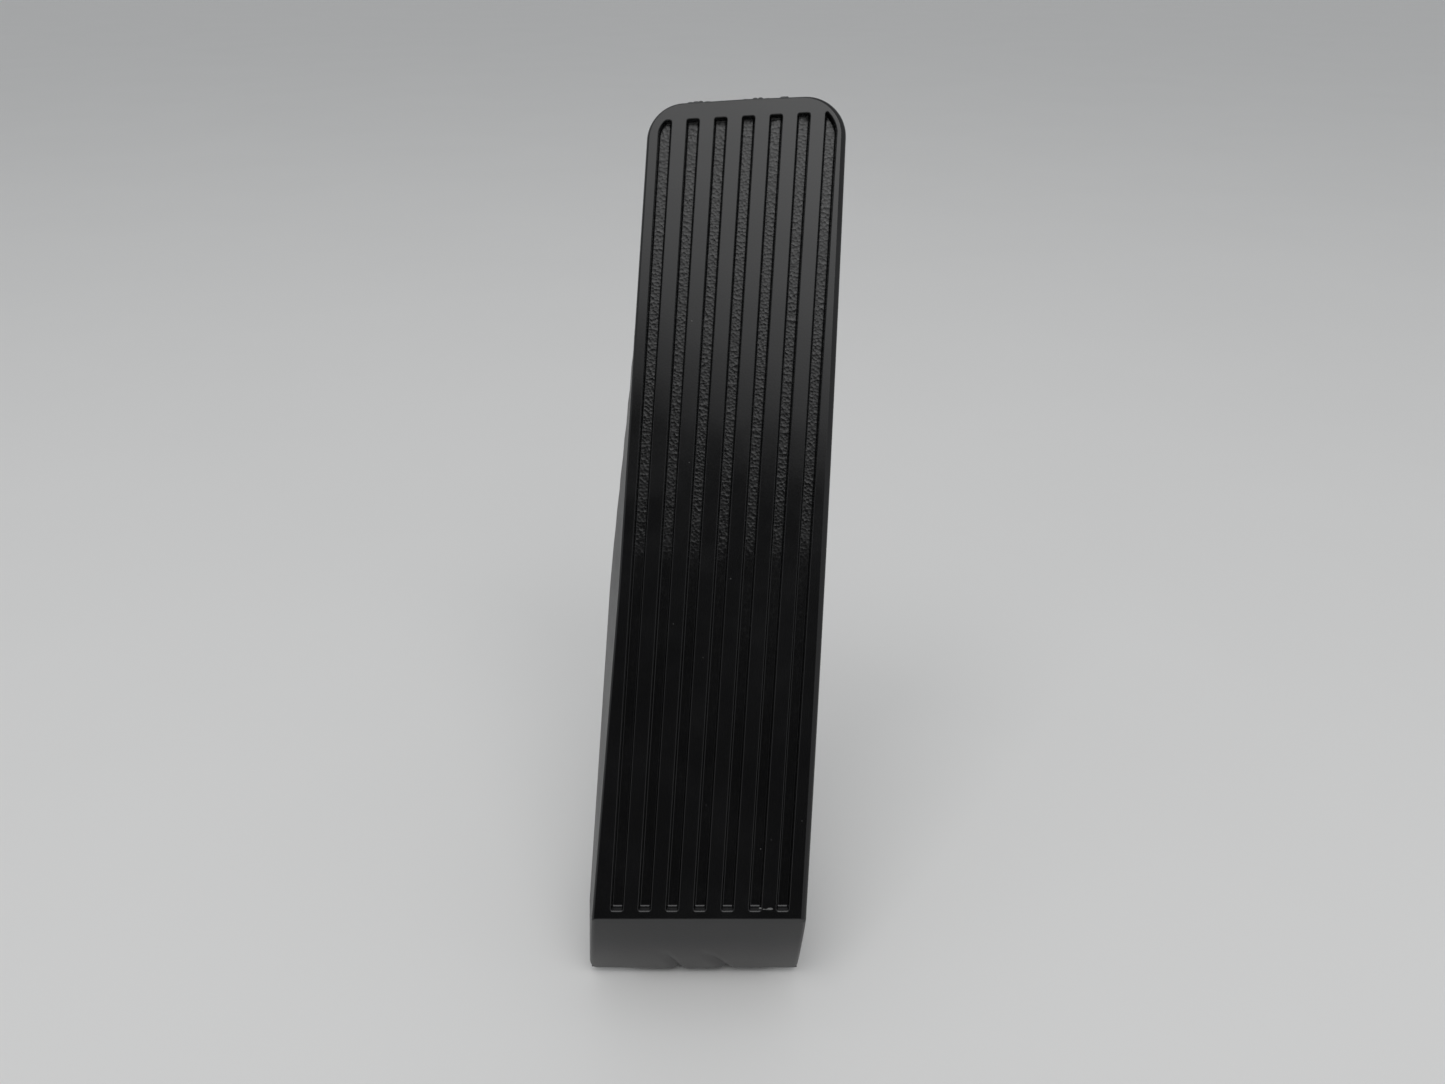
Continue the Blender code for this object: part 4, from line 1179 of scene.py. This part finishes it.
    def build(self, looks: Finishes) -> bpy.types.Object:
        """Builds and dresses the cover.

        Args:
            looks: the pedal's finishes.

        Returns:
            The cover's object.
        """
        mesh = self.shell()
        self.sag_toe(mesh)
        mesh = combine(mesh, self.groove_cutter(), "DIFFERENCE")
        mesh = combine(mesh, self.buttons(), "UNION")
        mesh.materials.clear()
        for look in (looks.tread, looks.floor_grain, looks.skirt):
            mesh.materials.append(look)
        floor = self.face_z - self.groove_depth
        near = 0.3 * MM
        for face in mesh.polygons:
            if face.center.z < floor - near or face.center.y < 0:
                face.material_index = 2
            elif abs(face.center.z - floor) < near and face.normal.z > 0.3:
                face.material_index = 1
        mesh = evened("tread_work", mesh, 40.0)
        mesh.transform(PIVOT)
        cover = add_object("tread_cover_moulding", mesh)
        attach(cover, Body.PEDAL.value)
        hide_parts("tread_cover")
        return cover


@dataclass
class ReturnSpring:
    """The torsion spring: a coil round the sleeve with a leg to the yoke and a leg to the foot plate."""

    wire: float = 1.1 * MM
    radius: float = 7.6 * MM
    gap: float = 0.6 * MM
    curls: int = 4
    upper_leg: float = 26.0 * MM
    upper_depth: float = 10.1 * MM
    lower_leg: float = 34.0 * MM
    lower_height: float = 4.8 * MM
    fit: float = 0.3 * MM

    def path(self) -> list[Vector]:
        """The wire's middle line in the world, from the lower tip to the upper tip."""
        up_z = self.upper_depth - self.fit - self.wire
        upper = (
            self.upper_leg * math.cos(SLOPE) - up_z * math.sin(SLOPE),
            self.upper_leg * math.sin(SLOPE) + up_z * math.cos(SLOPE),
        )
        lower = (self.lower_leg, self.lower_height - HINGE.z + self.fit + self.wire)
        first = math.atan2(lower[1], lower[0]) - math.acos(self.radius / math.hypot(*lower))
        last = math.atan2(upper[1], upper[0]) + math.acos(self.radius / math.hypot(*upper))
        while last > first:
            last -= 2 * math.pi
        last -= 2 * math.pi * self.curls
        turns = (first - last) / (2 * math.pi)
        half = turns * (2 * self.wire + self.gap) / 2
        count = math.ceil(turns * 40)
        places = [Vector((half, *lower))]
        for k in range(count + 1):
            turn = first + (last - first) * k / count
            across = half - 2 * half * k / count
            places.append(Vector((across, self.radius * math.cos(turn), self.radius * math.sin(turn))))
        places.append(Vector((-half, *upper)))
        return [place + HINGE for place in places]

    def build(self, looks: Finishes) -> bpy.types.Object:
        """Sweeps the wire along its path round the hinge with Geometry Nodes.

        Args:
            looks: the pedal's finishes.

        Returns:
            The spring's object.
        """
        places = self.path()
        tree = NodeTree("sweep_wire")
        radius = tree.input("Wire Radius", "NodeSocketFloat")
        ring = tree.add("GeometryNodeCurvePrimitiveCircle", {}, {"Resolution": 16, "Radius": radius})
        values = {"Curve": tree.geometry, "Profile Curve": ring, "Fill Caps": True}
        swept = tree.add("GeometryNodeCurveToMesh", {}, values)
        tree.end(swept, looks.spring)
        obj = path_object("return_spring_path", places)
        tree.attach(obj, {radius: self.wire})
        mesh = settled(obj)
        shade(mesh, 50.0)
        spring = add_object("return_spring_wire", mesh)
        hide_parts("return_spring")
        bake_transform(spring)
        return spring


@dataclass(frozen=True)
class MouldFlash:
    """Torn bits of moulding flash, strung along a line on the cover."""

    name: str
    line: tuple[Place, ...]
    spacing: float
    size: float
    seed: int

    def build(self, look: bpy.types.Material) -> bpy.types.Object:
        """Scatters the bits along the line with Geometry Nodes.

        Args:
            look: their material.

        Returns:
            The bits as one object.
        """
        tree = NodeTree("scatter_flash")
        spacing = tree.input("Spacing", "NodeSocketFloat")
        size = tree.input("Size", "NodeSocketFloat")
        seed = tree.input("Seed", "NodeSocketInt")
        strung = {"Curve": tree.geometry, "Length": spacing}
        dots = tree.add("GeometryNodeCurveToPoints", {"mode": "LENGTH"}, strung)
        vector = {"data_type": "FLOAT_VECTOR"}
        low, high = (-0.5 * MM, -0.15 * MM, -0.15 * MM), (0.5 * MM, 0.1 * MM, 0.1 * MM)
        shift = tree.add("FunctionNodeRandomValue", vector, {"Min": low, "Max": high, "Seed": seed})
        moved = tree.add("GeometryNodeSetPosition", {}, {"Geometry": dots, "Offset": shift})
        small, large = (1.2, 0.3, 0.5), (4.0, 1.3, 1.1)
        grow = tree.add("FunctionNodeRandomValue", vector, {"Min": small, "Max": large, "Seed": seed})
        bit = tree.add("GeometryNodeMeshIcoSphere", {}, {"Radius": size, "Subdivisions": 2})
        spread = {"Points": moved, "Instance": bit, "Scale": grow}
        laid = tree.add("GeometryNodeInstanceOnPoints", {}, spread)
        tree.end(laid, look)
        obj = path_object(self.name, self.line)
        tree.attach(obj, {spacing: self.spacing, size: self.size, seed: self.seed})
        mesh = settled(obj)
        shade(mesh, 80.0)
        mesh.transform(PIVOT)
        flash = add_object(self.name + "_bits", mesh)
        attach(flash, Body.PEDAL.value)
        return flash


@dataclass(frozen=True)
class Softened:
    """A rigid piece that keeps its solid's shape, with its edges broken as a real one's are."""

    node: str
    body: Body
    slot: str
    bevel: float

    def build(self, look: bpy.types.Material) -> bpy.types.Object:
        """Copies the solid, breaks its edges and dresses it.

        Args:
            look: the piece's material.

        Returns:
            The piece's object.
        """
        work = opened(frame["nodes"][self.node].data)
        bmesh.ops.remove_doubles(work, verts=work.verts, dist=SLIVER)
        bmesh.ops.dissolve_limit(work, angle_limit=math.radians(0.6), verts=work.verts, edges=work.edges)
        mesh = closed(work, bpy.data.meshes.new(self.node))
        mesh.materials.clear()
        mesh.materials.append(look)
        obj = add_object(f"{self.node}_work", mesh)
        step = obj.modifiers.new("broken_edges", "BEVEL")
        step.limit_method = "ANGLE"
        step.angle_limit = math.radians(32.0)
        step.width = self.bevel
        step.segments = 2
        mesh = evened(f"{self.node}_shade", settled(obj), 38.0)
        piece = add_object(f"{self.node}_piece", mesh)
        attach(piece, self.body.value)
        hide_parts(self.node)
        return piece


@dataclass(frozen=True)
class Studio:
    """The floor, the light and the camera."""

    front: float = 0.02
    room: float = 0.48
    dim_rise: float = 6.0
    dim_turn: float = -12.0
    dim_reach: float = 32.5
    dim_edge: float = 2.5
    box_low: float = 0.1
    box_high: float = 3.6
    lens: float = 28.65
    seen_from: Place = (5.78 * MM, 103.7 * MM, 334.6 * MM)

    def floor(self) -> None:
        """A plain pale floor."""
        g = Graph("pale_floor")
        clouds = g.noise(6.0, 3.0)
        tone = g.mix(clouds, (0.79, 0.785, 0.775), (0.82, 0.815, 0.805))
        look = g.finish({"Base Color": tone, "Roughness": 0.55})
        work = bmesh.new()
        bmesh.ops.create_grid(work, x_segments=1, y_segments=1, size=6.0)
        mesh = closed(work, bpy.data.meshes.new("studio_floor"))
        mesh.materials.append(look)
        floor = add_object("studio_floor", mesh)
        floor.location.z = -0.0002

    def light(self) -> None:
        """A soft box above the camera, in a pale room with a dim side in front, hidden from the camera."""
        world = bpy.data.worlds.new("room")
        bpy.context.scene.world = world
        world.use_nodes = True
        tree = world.node_tree
        way = new_node(tree, "ShaderNodeTexCoord", {}, {}).outputs["Generated"]
        front = tuple(self.direction(self.dim_rise, self.dim_turn))
        toward = new_node(tree, "ShaderNodeVectorMath", {"operation": "DOT_PRODUCT"}, {0: way, 1: front})
        values = {
            "Value": toward.outputs["Value"],
            "From Min": math.cos(math.radians(self.dim_reach + self.dim_edge)),
            "From Max": math.cos(math.radians(self.dim_reach - self.dim_edge)),
            "To Min": self.room,
            "To Max": self.front,
        }
        dim = new_node(tree, "ShaderNodeMapRange", {"interpolation_type": "SMOOTHSTEP"}, values).outputs[0]
        seen = new_node(tree, "ShaderNodeLightPath", {}, {}).outputs["Is Camera Ray"]
        shown = new_node(tree, "ShaderNodeMix", {"data_type": "FLOAT"}, {0: seen, 2: dim, 3: self.room})
        room = tree.nodes["Background"]
        room.inputs["Color"].default_value = (0.96, 0.98, 1.0, 1.0)
        feed(tree, room.inputs["Strength"], shown.outputs[0])
        self.soft_box("soft_box", rise=57.0, turn=-6.0, reach=1.6, size=(1.7, 1.2), roll=-18.0)

    @staticmethod
    def direction(rise: float, turn: float) -> Vector:
        """The direction at an angle above the floor and an angle round from the front, in degrees."""
        up, across = math.radians(rise), math.radians(turn)
        return Vector((math.cos(up) * math.sin(across), -math.cos(up) * math.cos(across), math.sin(up)))

    def soft_box(
        self, name: str, rise: float, turn: float, reach: float, size: Point, roll: float
    ) -> None:
        """One soft box, aimed at the pedal, that grows brighter from its lower edge.

        Args:
            name: its name.
            rise: degrees above the floor.
            turn: degrees round from the front, to the right.
            reach: how far away it stands.
            size: its width and height.
            roll: how far it is tipped in its own plane, in degrees.
        """
        data = bpy.data.lights.new(name, "AREA")
        data.shape = "RECTANGLE"
        data.size, data.size_y = size
        data.energy = math.pi * size[0] * size[1]
        data.use_nodes = True
        tree = data.node_tree
        spot = new_node(tree, "ShaderNodeNewGeometry", {}, {}).outputs["Parametric"]
        axes = new_node(tree, "ShaderNodeSeparateXYZ", {}, {0: spot})
        values = {"Value": axes.outputs["Y"], "To Min": self.box_low, "To Max": self.box_high}
        ramp = new_node(tree, "ShaderNodeMapRange", {}, values).outputs[0]
        feed(tree, tree.nodes["Emission"].inputs["Strength"], ramp)
        lamp = bpy.data.objects.new(name, data)
        away = self.direction(rise, turn)
        lamp.location = Vector((0.0, 0.0, 0.12)) + away * reach
        spin = Matrix.Rotation(math.radians(roll), 3, "Z")
        lamp.rotation_euler = ((-away).to_track_quat("-Z", "Y").to_matrix() @ spin).to_euler()
        bpy.context.scene.collection.objects.link(lamp)

    def camera(self) -> None:
        """A camera square to the tread, above it and in front."""
        data = bpy.data.cameras.new("photo_view")
        data.sensor_fit = "HORIZONTAL"
        data.sensor_width = 36.0
        data.lens = self.lens
        data.clip_start = 0.01
        camera = bpy.data.objects.new("photo_view", data)
        camera.location = PIVOT @ Vector(self.seen_from)
        camera.rotation_euler = (SLOPE, 0.0, 0.0)
        bpy.context.scene.collection.objects.link(camera)
        bpy.context.scene.camera = camera


def steelwork(looks: Finishes) -> list[bpy.types.Object]:
    """Builds every rigid piece behind the tread.

    Args:
        looks: the pedal's finishes.

    Returns:
        The pieces.
    """
    dressed = {
        "painted_steel": looks.paint,
        "plated_steel": looks.yellow,
        "bright_steel": looks.bright,
        "clip_steel": looks.clip,
        "rivet_steel": looks.rivet,
        "nylon": looks.nylon,
        "pad_rubber": looks.pad,
    }
    pedal, base, roller = Body.PEDAL, Body.BASE, Body.ROLLER
    pieces = [
        ("pedal_plate", pedal, "painted_steel", 0.3),
        ("hinge_yoke", pedal, "plated_steel", 0.3),
        ("hinge_pin", pedal, "bright_steel", 0.15),
        ("hinge_clip_left", pedal, "clip_steel", 0.12),
        ("hinge_clip_right", pedal, "clip_steel", 0.12),
        ("spring_sleeve", pedal, "nylon", 0.2),
        ("roller_bracket", pedal, "plated_steel", 0.3),
        ("roller_pin", pedal, "bright_steel", 0.15),
        ("roller_pin_clip", pedal, "clip_steel", 0.12),
        ("roller", roller, "nylon", 0.25),
        ("floor_bracket", base, "painted_steel", 0.35),
        ("floor_pad", base, "pad_rubber", 0.3),
        ("hinge_bush_left", base, "nylon", 0.15),
        ("hinge_bush_right", base, "nylon", 0.15),
        ("stop_buffer_left", base, "pad_rubber", 0.35),
        ("stop_buffer_right", base, "pad_rubber", 0.35),
    ]
    rivets = [f"yoke_rivet_{k}" for k in range(1, 5)] + [f"roller_rivet_{k}" for k in range(1, 3)]
    pieces += [(name, pedal, "rivet_steel", 0.12) for name in rivets]
    return [Softened(node, body, slot, edge * MM).build(dressed[slot]) for node, body, slot, edge in pieces]


def main() -> None:
    """Builds the pedal's pieces in order, then the studio."""
    logging.basicConfig(level=logging.INFO, format="%(message)s")
    bpy.context.scene.view_settings.view_transform = "Standard"
    studio = Studio()
    studio.camera()
    looks = Finishes()
    tread = Tread()
    top_line = tread.top_line(first=-3.0 * MM, last=27.0 * MM, depth=1.4 * MM)
    top_flash = MouldFlash("top_flash", top_line, spacing=1.5 * MM, size=0.36 * MM, seed=11)
    # The groove burr's bits are dressed in the light grey rubber, a painted glint.
    burr_line = ((16.5 * MM, 3.0 * MM, tread.face_z), (18.6 * MM, 2.8 * MM, tread.face_z))
    burr = MouldFlash("groove_burr", burr_line, spacing=0.5 * MM, size=0.26 * MM, seed=5)
    pieces = [tread.build(looks), top_flash.build(looks.skirt), burr.build(looks.scuff)]
    pieces.append(ReturnSpring().build(looks))
    pieces += steelwork(looks)
    for piece in pieces:
        LOG.info("%s: %d faces", piece.name, len(piece.data.polygons))
    studio.floor()
    studio.light()
    bpy.context.view_layer.update()


if __name__ == "__main__":
    main()
